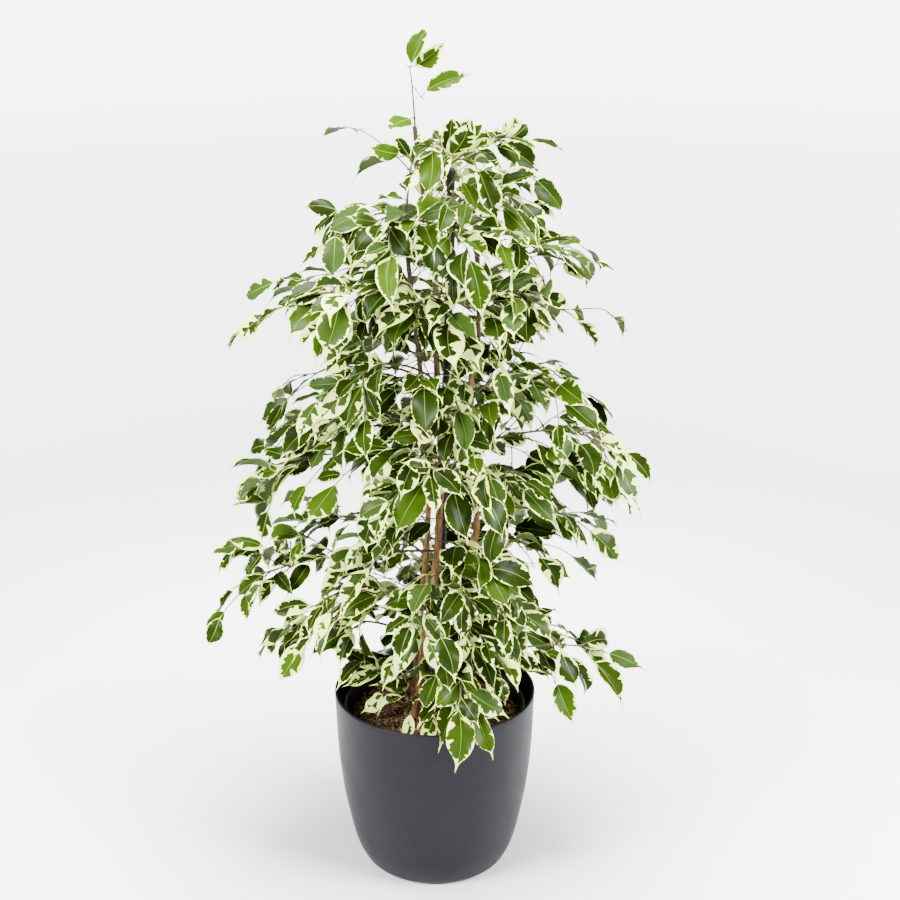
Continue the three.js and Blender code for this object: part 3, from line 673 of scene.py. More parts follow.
# The rows and columns that the corners of the leaf's faces lie in.
def cornerPlaces(order):
    return np.divmod(np.array(topFaces)[:, order].ravel(), len(columnShares))


topPlaces = cornerPlaces(topOrder)
underPlaces = cornerPlaces(underOrder)


def shellPoints(surface, raised, thickness, ridge):
    upper = surface + raised[:, None, :] * (thickness / 2)[:, :, None]
    lower = (surface - raised[:, None, :] * (thickness / 2 + ridge)[:, :, None])[1:-1, 1:-1]
    return np.concatenate([upper.reshape(-1, 3), lower.reshape(-1, 3)])


sharpAngle = 70


# Collects the points, faces and facts of a piece that is made of many small ones.
class Gathering:
    def __init__(self):
        self.points = []
        self.faces = []
        self.slots = []
        self.facts = {}
        self.places = []
        self.count = 0

    def add(self, points, faces, slot=0, facts=None, places=None):
        points = np.asarray(points, dtype=float)
        self.points.append(points)
        self.faces.extend([tuple(i + self.count for i in face) for face in faces])
        self.slots.extend([slot] * len(faces) if isinstance(slot, int) else slot)
        for name, values in (facts or {}).items():
            self.facts.setdefault(name, []).append((self.count, np.broadcast_to(values, points.shape)))
        if places is not None:
            self.places.append(places)
        self.count += len(points)

    def build(self, name, materials):
        mesh = bpy.data.meshes.new(name)
        points = np.concatenate(self.points) * mm
        mesh.from_pydata(points.tolist(), [], self.faces)
        for material in materials:
            mesh.materials.append(material)
        mesh.polygons.foreach_set("material_index", self.slots)
        for fact, rows in self.facts.items():
            values = np.zeros((self.count, 3))
            for first, part in rows:
                values[first:first + len(part)] = part
            layer = mesh.attributes.new(fact, "FLOAT_VECTOR", "POINT")
            layer.data.foreach_set("vector", values.ravel())
        if self.places:
            layer = mesh.uv_layers.new(name="OFBake")
            layer.data.foreach_set("uv", np.concatenate(self.places).ravel())
        mesh.update()
        mesh.shade_smooth()
        mesh.set_sharp_from_angle(angle=math.radians(sharpAngle))
        piece = bpy.data.objects.new(name, mesh)
        bpy.context.scene.collection.objects.link(piece)
        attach(piece, "root")
        return piece


# A tube through points, with its rings turned as little as possible from one to the next. The first is
# turned by a slant that no path follows.
slant = [0.3, 0.5, 0.8]


def tubeParts(path, radii, sides):
    path = np.asarray(path, dtype=float)
    steps = np.gradient(path, axis=0)
    steps /= np.linalg.norm(steps, axis=1)[:, None]
    first = np.cross(steps[0], slant)
    side = first / np.linalg.norm(first)
    angles = np.arange(sides) / sides * 2 * math.pi
    points = []
    facts = []
    distance = 0
    for i, (centre, step) in enumerate(zip(path, steps)):
        side = side - step * side.dot(step)
        side /= np.linalg.norm(side)
        other = np.cross(step, side)
        distance += np.linalg.norm(centre - path[i - 1]) if i else 0
        ring = np.cos(angles)[:, None] * side + np.sin(angles)[:, None] * other
        points.append(centre + ring * radii[i])
        place = [np.cos(angles) * radii[i], np.sin(angles) * radii[i], np.full(sides, distance)]
        facts.append(np.stack(place, axis=1))
    faces = []
    for i in range(len(path) - 1):
        for k in range(sides):
            after = (k + 1) % sides
            faces.append((i * sides + k, i * sides + after, (i + 1) * sides + after, (i + 1) * sides + k))
    faces.append(tuple(range(sides - 1, -1, -1)))
    last = (len(path) - 1) * sides
    faces.append(tuple(range(last, last + sides)))
    return np.concatenate(points), faces, np.concatenate(facts)


# What is in place already, with its box, so that what comes next is put clear of it.
class Room:
    def __init__(self):
        self.trees = []
        self.owners = []
        self.lows = np.zeros((0, 3))
        self.highs = np.zeros((0, 3))

    def add(self, points, faces, owner):
        self.trees.append(BVHTree.FromPolygons(points.tolist(), faces))
        self.owners.append(owner)
        self.lows = np.vstack([self.lows, points.min(axis=0)])
        self.highs = np.vstack([self.highs, points.max(axis=0)])

    def isClear(self, points, faces, owner):
        low = points.min(axis=0)
        high = points.max(axis=0)
        if (low < boxLow).any() or (high > boxHigh).any():
            return False
        near = np.nonzero(((self.lows < high) & (self.highs > low)).all(axis=1))[0]
        near = [i for i in near if self.owners[i] != owner]
        if not near:
            return True
        tree = BVHTree.FromPolygons(points.tolist(), faces)
        return not any(tree.overlap(self.trees[i]) for i in near)


boxMargin = 1
boxLow = np.array(solidBox[0]) / mm + boxMargin
boxHigh = np.array(solidBox[1]) / mm - boxMargin
room = Room()


def testShell(leaf):
    surface, raised, _, _ = bladeSurface(leaf, testRows, testColumns)
    thickness = np.full((len(testRows), len(testColumns)), testThickness)
    return shellPoints(surface, raised, thickness, thickness * 0), testFaces


def twigTest(shoot):
    steps = testTwig["steps"]
    path = [curveAt(shoot["curve"], i / steps) for i in range(steps + 1)]
    points, faces, _ = tubeParts(path, [testTwig["radius"]] * len(path), testTwig["sides"])
    return points, faces


def inOutline(points):
    heights, lefts, rights = zip(*frontOutline)
    across = points[:, 0]
    height = points[:, 2] + backShift * points[:, 1]
    inside = (across > np.interp(height, heights, lefts) - outlineReach) & (
        across < np.interp(height, heights, rights) + outlineReach)
    return inside.all() and not any((np.hypot(across - x, height - z) < r).any() for x, z, r in frontGaps)


# Gives a leaf its own facts, how creamy it is and how it bends, drawn by the place of its tip in tenths
# of a millimetre.
def dress(leaf):
    tenths = 10
    spot = [rounded(abs(value) * tenths) for value in leaf["tip"]]
    draw = drawer(*spot, *choices["dress"])
    cream = draw() ** leafDraws["creamPower"]
    leaf["form"] = formOf(draw, cream)
    return leaf


def claimLeaf(leaf, owner):
    room.add(*testShell(leaf), owner)


def claimTwig(shoot, owner):
    room.add(*twigTest(shoot), owner)


# Leaves at the given places of a shoot, each where it finds room.
def growLeaves(shoot, owner, places, lengths, choice):
    habit = highHabit if shoot["points"][-1].z > highFrom else lowHabit
    for k, along, side in places:
        for attempt in range(tries["leaf"]):
            draw = drawer(*choice, k, attempt, growthSeed)
            leaf = dress(sideLeaf(shoot["points"], along, side, draw, lengths, habit))
            points, faces = testShell(leaf)
            if inOutline(points) and room.isClear(points, faces, owner):
                room.add(points, faces, None)
                shoot["leaves"].append(leaf)
                break


def everyPlace(shoot):
    yield from leafPlaces(shoot, 0)
    yield from leafPlaces(shoot, 1)


# A shoot that the solids don't have goes where its twig and its last leaf find room.
def growShoot(make, attempts, owner, parent, lengths, choice, fits=inOutline):
    for attempt in range(attempts):
        shoot = make(attempt)
        leaf = dress(shoot["leaf"])
        twigShape = twigTest(shoot)
        leafShape = testShell(leaf)
        if fits(leafShape[0]) and room.isClear(*twigShape, parent) and room.isClear(*leafShape, owner):
            room.add(*twigShape, owner)
            room.add(*leafShape, None)
            shoot["leaves"] = [leaf]
            growLeaves(shoot, owner, everyPlace(shoot), lengths, choice)
            return shoot
    return None


def nudge(depth, attempt, *choice):
    draw = drawer(*choice, attempt, choices["nudge"])
    back = either(depth, draw) if attempt else 0
    size = nudges["across"] if attempt else 0
    return Vector((either(size, draw), back, either(size, draw) - backShift * back))


def placedShoot(main, along, end, tip, number, attempt):
    offset = nudge(nudges["depth"], attempt, number, choices["placedNudge"])
    draw = drawer(number, choices["placed"], attempt)
    along += either(nudges["along"], draw) if attempt else 0
    return sideShoot(main, along, Vector(end) + offset, Vector(tip) + offset, draw, extraTwig)


def lowShoot(stem, height, end, tip, number, attempt):
    draw = drawer(number, choices["low"], attempt)
    root = pointOnStem(stems[stem], height + (either(nudges["height"], draw) if attempt else 0))
    offset = nudge(nudges["lowDepth"], attempt, number, choices["lowNudge"])
    end = Vector(end) + offset
    near = mix(root, end, innerShoots["near"]) + up * lowRise
    far = mix(root, end, innerShoots["far"]) + up * lowRise
    return shootAlong(innerTwig, (root, near, far, end), Vector(tip) + offset, draw)


def innerShoot(stem, height, number, attempt):
    plan = innerShoots
    draw = drawer(number, choices["inner"], attempt, growthSeed)
    root = pointOnStem(stems[stem], height)
    angle = math.radians(number * plan["turn"] + attempt * plan["retryTurn"] + plan["spread"] * draw())
    way = Vector((math.cos(angle), math.sin(angle), 0))
    isTop = height > plan["topFrom"]
    reach = within(plan["topShare" if isTop else "share"], draw) * crownReach(height)
    middle = Vector((crownAxis.x, 0, 0))
    end = middle + way * reach
    end.z = height + within(plan["topDrop" if isTop else "drop"], draw)
    over = end - root
    over.z = 0
    rise = within(plan["rise"], draw)
    near = root + over * plan["near"] + up * rise
    far = root + over * plan["far"]
    far.z = end.z + rise
    drop = over.normalized() * plan["tipForward"] + up * within(plan["tipDrop"], draw)
    tip = end + drop.normalized() * within(plan["leaf"], draw)
    return shootAlong(innerTwig, (root, near, far, end), tip, draw)


# Materials. A graph adds nodes to a tree, with numbers, colours or other nodes' sockets as inputs.
class Graph:
    def __init__(self, tree):
        self.tree = tree

    def add(self, kind, inputs=None, **settings):
        node = self.tree.nodes.new(kind)
        for name, value in settings.items():
            setattr(node, name, value)
        for name, value in (inputs or {}).items():
            self.feed(node.inputs[name], value)
        return node

    def feed(self, socket, value):
        if isinstance(value, bpy.types.NodeSocket):
            self.tree.links.new(value, socket)
        else:
            socket.default_value = value

    def math(self, operation, *values):
        node = self.add("ShaderNodeMath", operation=operation)
        for socket, value in zip(node.inputs, values):
            self.feed(socket, value)
        return node.outputs[0]

    def times(self, first, second):
        return self.math("MULTIPLY", first, second)

    def over(self, first, second):
        return self.math("DIVIDE", first, second)

    def plus(self, first, second):
        return self.math("ADD", first, second)

    def minus(self, first, second):
        return self.math("SUBTRACT", first, second)

    # The colour sockets of a mix node come after those of its other kinds.
    def blend(self, factor, first, second):
        node = self.add("ShaderNodeMix", {0: factor, 6: first, 7: second}, data_type="RGBA")
        return node.outputs[2]

    def smooth(self, value, low, high, first=0.0, last=1.0):
        inputs = {"Value": value, "From Min": low, "From Max": high, "To Min": first, "To Max": last}
        return self.add("ShaderNodeMapRange", inputs, interpolation_type="SMOOTHSTEP").outputs[0]

    def vector(self, x, y, z):
        node = self.add("ShaderNodeCombineXYZ", {"X": x, "Y": y, "Z": z})
        return node.outputs[0]

    def parts(self, vector):
        return self.add("ShaderNodeSeparateXYZ", {"Vector": vector}).outputs

    def scaled(self, vector, factors):
        node = self.add("ShaderNodeVectorMath", {0: vector, 1: factors}, operation="MULTIPLY")
        return node.outputs[0]

    def noise(self, vector, scale=1.0, detail=2.0, roughness=0.5, distortion=0.0):
        inputs = {"Vector": vector, "Scale": scale, "Detail": detail, "Roughness": roughness}
        inputs["Distortion"] = distortion
        return self.add("ShaderNodeTexNoise", inputs).outputs[0]

    def attribute(self, name):
        return self.add("ShaderNodeAttribute", attribute_name=name).outputs["Vector"]

    def place(self):
        return self.add("ShaderNodeTexCoord").outputs["Object"]

    def group(self, tree, inputs):
        node = self.add("ShaderNodeGroup", node_tree=tree)
        for name, value in inputs.items():
            self.feed(node.inputs[name], value)
        return node.outputs


def newGroup(name, inputs, outputs):
    tree = bpy.data.node_groups.new(name, "ShaderNodeTree")
    for socket, kind in inputs:
        tree.interface.new_socket(name=socket, in_out="INPUT", socket_type=kind)
    for socket, kind in outputs:
        tree.interface.new_socket(name=socket, in_out="OUTPUT", socket_type=kind)
    graph = Graph(tree)
    return graph, graph.add("NodeGroupInput").outputs, graph.add("NodeGroupOutput").inputs


def newMaterial(name, roughness, specular=0.5):
    material = bpy.data.materials.new(name)
    material.use_nodes = True
    material.node_tree.nodes.clear()
    graph = Graph(material.node_tree)
    shader = graph.add("ShaderNodeBsdfPrincipled", {"Roughness": roughness, "Specular IOR Level": specular})
    output = graph.add("ShaderNodeOutputMaterial")
    material.node_tree.links.new(shader.outputs[0], output.inputs[0])
    return material, graph, shader


def bumped(graph, shader, height, distance, strength=1.0):
    node = graph.add("ShaderNodeBump", {"Height": height, "Distance": distance, "Strength": strength})
    graph.feed(shader.inputs["Normal"], node.outputs[0])


# Fine grain of moulded plastic, and the dust and scuffs on it. Place is in metres.
def grainGroup():
    graph, given, result = newGroup(
        "Moulded grain", [("Place", "NodeSocketVector"), ("Size", "NodeSocketFloat")],
        [("Height", "NodeSocketFloat"), ("Mottle", "NodeSocketFloat")])
    fine = graph.noise(given["Place"], scale=graph.over(1.0, given["Size"]), detail=3.0)
    mottle = graph.noise(given["Place"], scale=28.0, detail=4.0, roughness=0.6)
    graph.feed(result["Height"], fine)
    graph.feed(result["Mottle"], mottle)
    return graph.tree


# The leaf's pattern, in millimetres on its blade: green within a cream margin that widens here and
# there along the side veins, with a paler green between them. Its noises run along the veins: each has a
# pitch along the blade, a reach inwards, an offset that keeps it apart, and a detail.
veinNoises = {
    "teeth": (3.7, 34.0, 0, 2.0), "toothSize": (6.0, 60.0, 120, 0.0), "patches": (11.0, 90.0, 40, 1.0),
    "margin": (14.0, 90.0, 200, 0.0), "paler": (6.5, 16.0, 80, 1.0),
}
# A mask's numbers are where it starts and ends, and what it runs from and to if that isn't 0 and 1.
pattern = {
    "distortion": 0.6, "veinLean": 0.5, "veinPitch": 1.35, "seedSpread": 371.0, "sideSpread": 17.0,
    "toothSize": (0.35, 0.7, 0.8, 5.6), "toothMiddle": 0.5, "toothGain": 2.0,
    "patchLevel": 0.68, "patchCream": 0.23, "patchDepth": 60.0,
    "marginLeast": 0.6, "marginCream": 2.6, "marginRange": (0.36, 0.64, 0.35, 1.75),
    "tipMargin": (0.78, 0.95, 0.0, 2.0), "greenEdge": (-0.12, 0.18),
    "palerMiddle": 0.45, "palerGain": 12.0, "palerEdge": (-0.3, 0.6),
    "palerSpread": 7.3, "palerOften": (0.4, 0.6), "ageSpread": 13.7, "agePower": 4.8, "freshest": 0.9,
    "fadedSpread": 23.1, "fadedRange": (0.8, 0.92, 0.0, 0.75),
    "broadAlong": 16.0, "broadAcross": 22.0, "greenRange": (0.35, 0.7), "creamRange": (0.3, 0.7),
    "veinEdge": (0.0, 0.4, 1.0, 0.0), "veinTint": 0.12, "veinHeight": 0.7,
    "ribHalf": (0.0, 0.9, 0.5, 0.1), "ribEdge": (0.5, 1.15, 1.0, 0.0), "ribTint": 0.75, "ribDepth": 1.2,
    "tipTint": (0.93, 1.0, 0.0, 0.8),
}
leafColours = {
    "deep": (0.0078, 0.0165, 0.0014, 1), "green": (0.0148, 0.0305, 0.002, 1),
    "bright": (0.042, 0.09, 0.0022, 1), "mid": (0.051, 0.086, 0.023, 1),
    "cream": (0.79, 0.99, 0.21, 1), "white": (0.9, 0.99, 0.31, 1),
    "rib": (0.24, 0.36, 0.06, 1), "sage": (0.034, 0.068, 0.012, 1),
    "under": (0.1, 0.145, 0.055, 1), "stalk": (0.18, 0.24, 0.035, 1), "tip": (0.2, 0.14, 0.05, 1),
}


def patternGroup():
    plan = pattern
    colours = leafColours
    graph, given, result = newGroup(
        "Leaf pattern", [("Place", "NodeSocketVector"), ("Draws", "NodeSocketVector")],
        [("Color", "NodeSocketColor"), ("Green", "NodeSocketFloat"), ("Height", "NodeSocketFloat")])
    share, across, edge = graph.parts(given["Place"])
    seed, cream, length = graph.parts(given["Draws"])
    aside = graph.math("ABSOLUTE", across)
    side = graph.math("SIGN", across)
    vein = graph.minus(graph.times(share, length), graph.times(aside, plan["veinLean"]))
    own = graph.plus(graph.times(seed, plan["seedSpread"]), graph.times(side, plan["sideSpread"]))

    def veined(name):
        pitch, reach, offset, detail = veinNoises[name]
        spot = graph.vector(graph.over(vein, pitch), graph.over(edge, reach), graph.plus(own, offset))
        return graph.noise(spot, detail=detail, distortion=plan["distortion"])

    def chance(spread):
        return graph.math("FRACT", graph.times(seed, spread))

    toothSize = graph.times(graph.smooth(veined("toothSize"), *plan["toothSize"]), plan["toothGain"])
    teeth = graph.times(graph.minus(veined("teeth"), plan["toothMiddle"]), toothSize)
    level = graph.minus(plan["patchLevel"], graph.times(cream, plan["patchCream"]))
    patches = graph.math("MAXIMUM", graph.minus(veined("patches"), level), 0.0)
    inward = graph.times(patches, plan["patchDepth"])
    margin = graph.plus(plan["marginLeast"], graph.times(cream, plan["marginCream"]))
    margin = graph.times(margin, graph.smooth(veined("margin"), *plan["marginRange"]))
    tip = graph.smooth(share, *plan["tipMargin"])
    depth = graph.minus(edge, graph.plus(graph.plus(margin, tip), graph.plus(inward, teeth)))
    green = graph.smooth(depth, *plan["greenEdge"])
    softer = graph.times(graph.minus(veined("paler"), plan["palerMiddle"]), plan["palerGain"])
    paler = graph.smooth(graph.plus(depth, softer), *plan["palerEdge"])
    paler = graph.times(paler, graph.smooth(chance(plan["palerSpread"]), *plan["palerOften"]))
    freshness = graph.math("POWER", chance(plan["ageSpread"]), plan["agePower"])
    faded = graph.smooth(chance(plan["fadedSpread"]), *plan["fadedRange"])
    spot = graph.vector(graph.over(vein, plan["broadAlong"]), graph.over(across, plan["broadAcross"]), own)
    broad = graph.noise(spot, detail=1.0)
    leafGreen = graph.blend(graph.smooth(broad, *plan["greenRange"]), colours["deep"], colours["green"])
    leafGreen = graph.blend(graph.times(freshness, plan["freshest"]), leafGreen, colours["bright"])
    leafGreen = graph.blend(faded, leafGreen, colours["sage"])
    pale = graph.blend(graph.smooth(broad, *plan["creamRange"]), colours["cream"], colours["white"])
    color = graph.blend(paler, pale, colours["mid"])
    color = graph.blend(green, color, leafGreen)
    line = graph.math("PINGPONG", vein, plan["veinPitch"])
    veinMask = graph.smooth(line, *plan["veinEdge"])
    color = graph.blend(graph.times(veinMask, plan["veinTint"]), color, colours["mid"])
    rib = graph.smooth(graph.over(aside, graph.smooth(share, *plan["ribHalf"])), *plan["ribEdge"])
    color = graph.blend(graph.times(rib, plan["ribTint"]), color, colours["rib"])
    color = graph.blend(graph.smooth(share, *plan["tipTint"]), color, colours["tip"])
    ripple = graph.times(graph.smooth(line, 0.0, plan["veinPitch"]), plan["veinHeight"])
    graph.feed(result["Color"], color)
    graph.feed(result["Green"], green)
    graph.feed(result["Height"], graph.minus(ripple, graph.times(rib, plan["ribDepth"])))
    return graph.tree


# Bark, on a stalk laid straight: its place is round it and along it, in millimetres.
barkForm = {
    "streaks": (0.8, 0.8, 0.07), "cracks": (1.6, 1.6, 0.35), "spots": (0.28, 0.28, 0.42),
    "spotEdge": (0.12, 0.24, 1.0, 0.0), "spotHeight": 0.6,
}


def barkGroup():
    graph, given, result = newGroup(
        "Bark", [("Place", "NodeSocketVector")],
        [("Mottle", "NodeSocketFloat"), ("Spots", "NodeSocketFloat"), ("Height", "NodeSocketFloat")])
    place = given["Place"]
    streaks = graph.noise(graph.scaled(place, barkForm["streaks"]), detail=4.0, roughness=0.6)
    cracks = graph.noise(graph.scaled(place, barkForm["cracks"]), detail=3.0)
    cells = graph.add(
        "ShaderNodeTexVoronoi", {"Vector": graph.scaled(place, barkForm["spots"]), "Scale": 1.0})
    spots = graph.smooth(cells.outputs[0], *barkForm["spotEdge"])
    graph.feed(result["Mottle"], streaks)
    graph.feed(result["Spots"], spots)
    graph.feed(result["Height"], graph.plus(cracks, graph.times(spots, barkForm["spotHeight"])))
    return graph.tree


grain = grainGroup()
leafPattern = patternGroup()
barkPattern = barkGroup()


def leafMaterial(name, roughness, specular, creamRoughness, greenRoughness, bump, shade=0.0):
    material, graph, shader = newMaterial(name, roughness, specular)
    facts = {"Place": graph.attribute("leafPlace"), "Draws": graph.attribute("leafDraws")}
    fig = graph.group(leafPattern, facts)
    color = fig["Color"]
    if shade:
        color = graph.blend(shade, color, leafColours["under"])
    graph.feed(shader.inputs["Base Color"], color)
    gloss = graph.smooth(fig["Green"], 0.0, 1.0, creamRoughness, greenRoughness)
    graph.feed(shader.inputs["Roughness"], gloss)
    bumped(graph, shader, fig["Height"], distance=0.00022, strength=bump)
    return material


def stalkMaterial():
    stretch = (0.6, 0.6, 0.2)
    material, graph, shader = newMaterial("leaf_stalk", roughness=0.5)
    streaks = graph.noise(graph.scaled(graph.attribute("stalkPlace"), stretch))
    graph.feed(shader.inputs["Base Color"], graph.blend(streaks, leafColours["stalk"], leafColours["rib"]))
    bumped(graph, shader, streaks, distance=0.0001)
    return material


# The bark is greener from youngFrom on, which is a length along the stalk in millimetres.
def barkMaterial(name, dark, light, spot, spotShare, depth, youngFrom, young):
    mottleRange = (0.35, 0.65)
    youngShare = 0.95
    material, graph, shader = newMaterial(name, roughness=0.72, specular=0.35)
    place = graph.attribute("stalkPlace")
    bark = graph.group(barkPattern, {"Place": place})
    color = graph.blend(graph.smooth(bark["Mottle"], *mottleRange), dark, light)
    youngPart = graph.smooth(graph.parts(place)[2], youngFrom, youngFrom * 2, 0.0, youngShare)
    color = graph.blend(youngPart, color, young)
    color = graph.blend(graph.times(bark["Spots"], spotShare), color, spot)
    graph.feed(shader.inputs["Base Color"], color)
    bumped(graph, shader, bark["Height"], depth)
    return material


def plasticMaterial(name, dark, light, roughness, specular, grainSize, depth):
    tintRange = (0.3, 0.7)
    glossRange = (0.3, 0.75)
    glossier = 0.04
    duller = 0.05
    material, graph, shader = newMaterial(name, roughness, specular)
    skin = graph.group(grain, {"Place": graph.place(), "Size": grainSize})
    color = graph.blend(graph.smooth(skin["Mottle"], *tintRange), dark, light)
    graph.feed(shader.inputs["Base Color"], color)
    gloss = graph.smooth(skin["Mottle"], *glossRange, roughness - glossier, roughness + duller)
    graph.feed(shader.inputs["Roughness"], gloss)
    bumped(graph, shader, skin["Height"], depth)
    return material


def soilMaterial(name, dark, light, dry):
    lumpRange = (0.35, 0.68)
    dryRange = (0.3, 1.0)
    material, graph, shader = newMaterial(name, roughness=0.95, specular=0.2)
    lumps = graph.noise(graph.place(), scale=160.0, detail=5.0, roughness=0.65)
    tint = graph.parts(graph.attribute("crumbTint"))[0]
    color = graph.blend(graph.smooth(lumps, *lumpRange), dark, light)
    color = graph.blend(graph.smooth(tint, *dryRange), color, dry)
    graph.feed(shader.inputs["Base Color"], color)
    bumped(graph, shader, lumps, distance=0.002)
    return material


materials = {
    "leafTop": leafMaterial(
        "leaf_upper_face", roughness=0.3, specular=0.06, creamRoughness=0.5, greenRoughness=0.27, bump=0.22),
    "leafUnder": leafMaterial(
        "leaf_under_face", roughness=0.42, specular=0.05, creamRoughness=0.5, greenRoughness=0.48, bump=0.7,
        shade=0.5),
    "stalk": stalkMaterial(),
    "twig": barkMaterial(
        "twig_bark", dark=(0.038, 0.026, 0.011, 1), light=(0.1, 0.072, 0.032, 1),
        spot=(0.17, 0.135, 0.065, 1), spotShare=0.4, depth=0.0002,
        youngFrom=35, young=(0.075, 0.082, 0.02, 1)),
    "stem": barkMaterial(
        "stem_bark", dark=(0.1, 0.045, 0.013, 1), light=(0.34, 0.175, 0.055, 1),
        spot=(0.5, 0.34, 0.16, 1), spotShare=0.6, depth=0.0005,
        youngFrom=330, young=(0.032, 0.032, 0.011, 1)),
    "planter": plasticMaterial(
        "planter_plastic", dark=(0.006, 0.0062, 0.0085, 1), light=(0.0075, 0.0077, 0.0102, 1),
        roughness=0.42, specular=0.1, grainSize=0.0007, depth=0.00006),
    "black": plasticMaterial(
        "black_plastic", dark=(0.006, 0.006, 0.007, 1), light=(0.014, 0.014, 0.015, 1),
        roughness=0.3, specular=0.8, grainSize=0.0012, depth=0.0001),
    "sleeve": plasticMaterial(
        "sleeve_plastic", dark=(0.005, 0.005, 0.006, 1), light=(0.01, 0.01, 0.011, 1),
        roughness=0.42, specular=0.25, grainSize=0.0012, depth=0.0001),
    "soil": soilMaterial(
        "peat", dark=(0.019, 0.01, 0.005, 1), light=(0.1, 0.054, 0.026, 1), dry=(0.28, 0.16, 0.075, 1)),
    "fibre": soilMaterial(
        "coir_fibre", dark=(0.13, 0.06, 0.026, 1), light=(0.28, 0.15, 0.07, 1), dry=(0.5, 0.34, 0.2, 1)),
}
print("materials are made")


# Each leaf has its own square of the piece's map: the stalk at the left, then the lower face under the
# upper one. These are shares of the square.
stalkForm = {"sides": 5, "steps": 5, "radius": (0.75, 0.55), "lift": 0.35, "climb": 0.3, "enter": 0.4}
stalkMap = {"left": 0.01, "width": 0.08, "low": 0.02, "height": 0.9}
leafMap = {"start": 0.12, "length": 0.86, "half": 0.23, "widest": 1.1, "top": 0.75, "under": 0.25}


# Puts a fine leaf and its stalk into a gathering.
def addLeaf(gathering, leaf, shoot, cell, cells):
    surface, raised, half, blade = bladeSurface(leaf, rowShares, columnShares)
    form = leaf["form"]
    body = 1 - columnShares[None, :] ** 2
    taper = mix(1, leafForm["ridgeEnd"], rowShares)[:, None]
    thickness = leafForm["thickness"] * np.minimum(half, leafForm["fullFrom"])[:, None] * body
    ridge = leafForm["ridge"] * taper * (columnShares[None, :] == 0)
    points = shellPoints(surface, raised, thickness, ridge)
    across = half[:, None] * columnShares[None, :]
    edge = half[:, None] - np.abs(across)
    place = np.stack([np.broadcast_to(rowShares[:, None], across.shape), across, edge], axis=2)
    places = np.concatenate([place.reshape(-1, 3), place[1:-1, 1:-1].reshape(-1, 3)])
    draws = (form["seed"], form["cream"], blade)
    left = cell % cells
    low = cell // cells
    widest = leafForm["halfWidth"] * leafMap["widest"]

    def mapped(rows, columns, level):
        u = leafMap["start"] + leafMap["length"] * rowShares[rows]
        v = level + leafMap["half"] * (across[rows, columns] / blade) / widest
        return np.stack([(left + u) / cells, (low + v) / cells], axis=1)

    spread = np.concatenate([mapped(*topPlaces, leafMap["top"]), mapped(*underPlaces, leafMap["under"])])
    gathering.add(points, topFaces + underFaces, [0] * len(topFaces) + [1] * len(underFaces),
                  {"leafPlace": places, "leafDraws": draws}, spread)
    base = Vector(surface[0, middleColumn])
    start = curveAt(shoot["curve"], leaf["along"]) if leaf["along"] < 1 else shoot["curve"][3]
    direction = stationAt(shoot["points"], min(leaf["along"], 1))[1]
    reach = (base - start).length
    inner = Vector(surface[1, middleColumn]) - base
    first = start + (direction + up * stalkForm["climb"]) * (reach * stalkForm["lift"])
    second = base - inner.normalized() * (reach * stalkForm["enter"])
    steps = stalkForm["steps"]
    path = [curveAt((start, first, second, base + inner), i / steps) for i in range(steps + 1)]
    radii = np.linspace(*stalkForm["radius"], len(path))
    sides = stalkForm["sides"]
    tube, faces, facts = tubeParts(path, radii, sides)
    spots = []
    for face in faces:
        isCap = len(face) == sides
        for i in face:
            ring, side = divmod(i, sides)
            wrapped = side if isCap or side or i not in (face[1], face[2]) else sides
            spots.append(((left + stalkMap["left"] + stalkMap["width"] * wrapped / sides) / cells,
                          (low + stalkMap["low"] + stalkMap["height"] * ring / steps) / cells))
    gathering.add(tube, faces, 2, {"stalkPlace": facts}, np.array(spots))


# A twig is thicker at each leaf, and ends in a slim bud: its rings are [share of the length, of the
# radius].
twigForm = {
    "main": (1.7, 0.85), "side": (0.9, 0.62), "node": 1.35, "nodeHalf": 1.6, "clear": 1.5, "spacing": 9,
    "sides": 7,
}
budForm = {
    "length": (6, 9), "radius": 0.8, "sides": 6, "climb": 0.4, "sway": 0.3,
    "rings": [(-0.1, 0.7), (0.15, 1), (0.45, 0.85), (0.75, 0.45), (1, 0.08)],
}


def addTwig(gathering, shoot, kind, number):
    length = lengthOf(shoot["points"])
    first, last = twigForm[kind]
    steps = rounded(length / twigForm["spacing"] + 1)
    stations = {i / steps: 1.0 for i in range(steps + 1)}
    half = twigForm["nodeHalf"] / length
    for leaf in shoot["leaves"]:
        along = leaf["along"]
        if half < along < 1 - half:
            clear = half * twigForm["clear"]
            stations = {t: r for t, r in stations.items() if abs(t - along) > clear}
            stations.update({along - half: 1.0, along: twigForm["node"], along + half: 1.0})
    shares = sorted(stations)
    path = [curveAt(shoot["curve"], t) for t in shares]
    radii = [mix(first, last, t) * stations[t] * shoot.get("slim", 1) for t in shares]
    points, faces, facts = tubeParts(path, radii, twigForm["sides"])
    gathering.add(points, faces, 0, {"stalkPlace": facts})
    draw = drawer(number, choices["bud"])
    way = (path[-1] - path[-2]).normalized() + up * (budForm["climb"] * draw())
    way = (way + Vector((either(budForm["sway"], draw), either(budForm["sway"], draw), 0))).normalized()
    size = within(budForm["length"], draw)
    bud = [path[-1] + way * (size * share) for share, _ in budForm["rings"]]
    widths = [budForm["radius"] * width for _, width in budForm["rings"]]
    points, faces, facts = tubeParts(bud, widths, budForm["sides"])
    gathering.add(points, faces, 1, {"stalkPlace": facts})


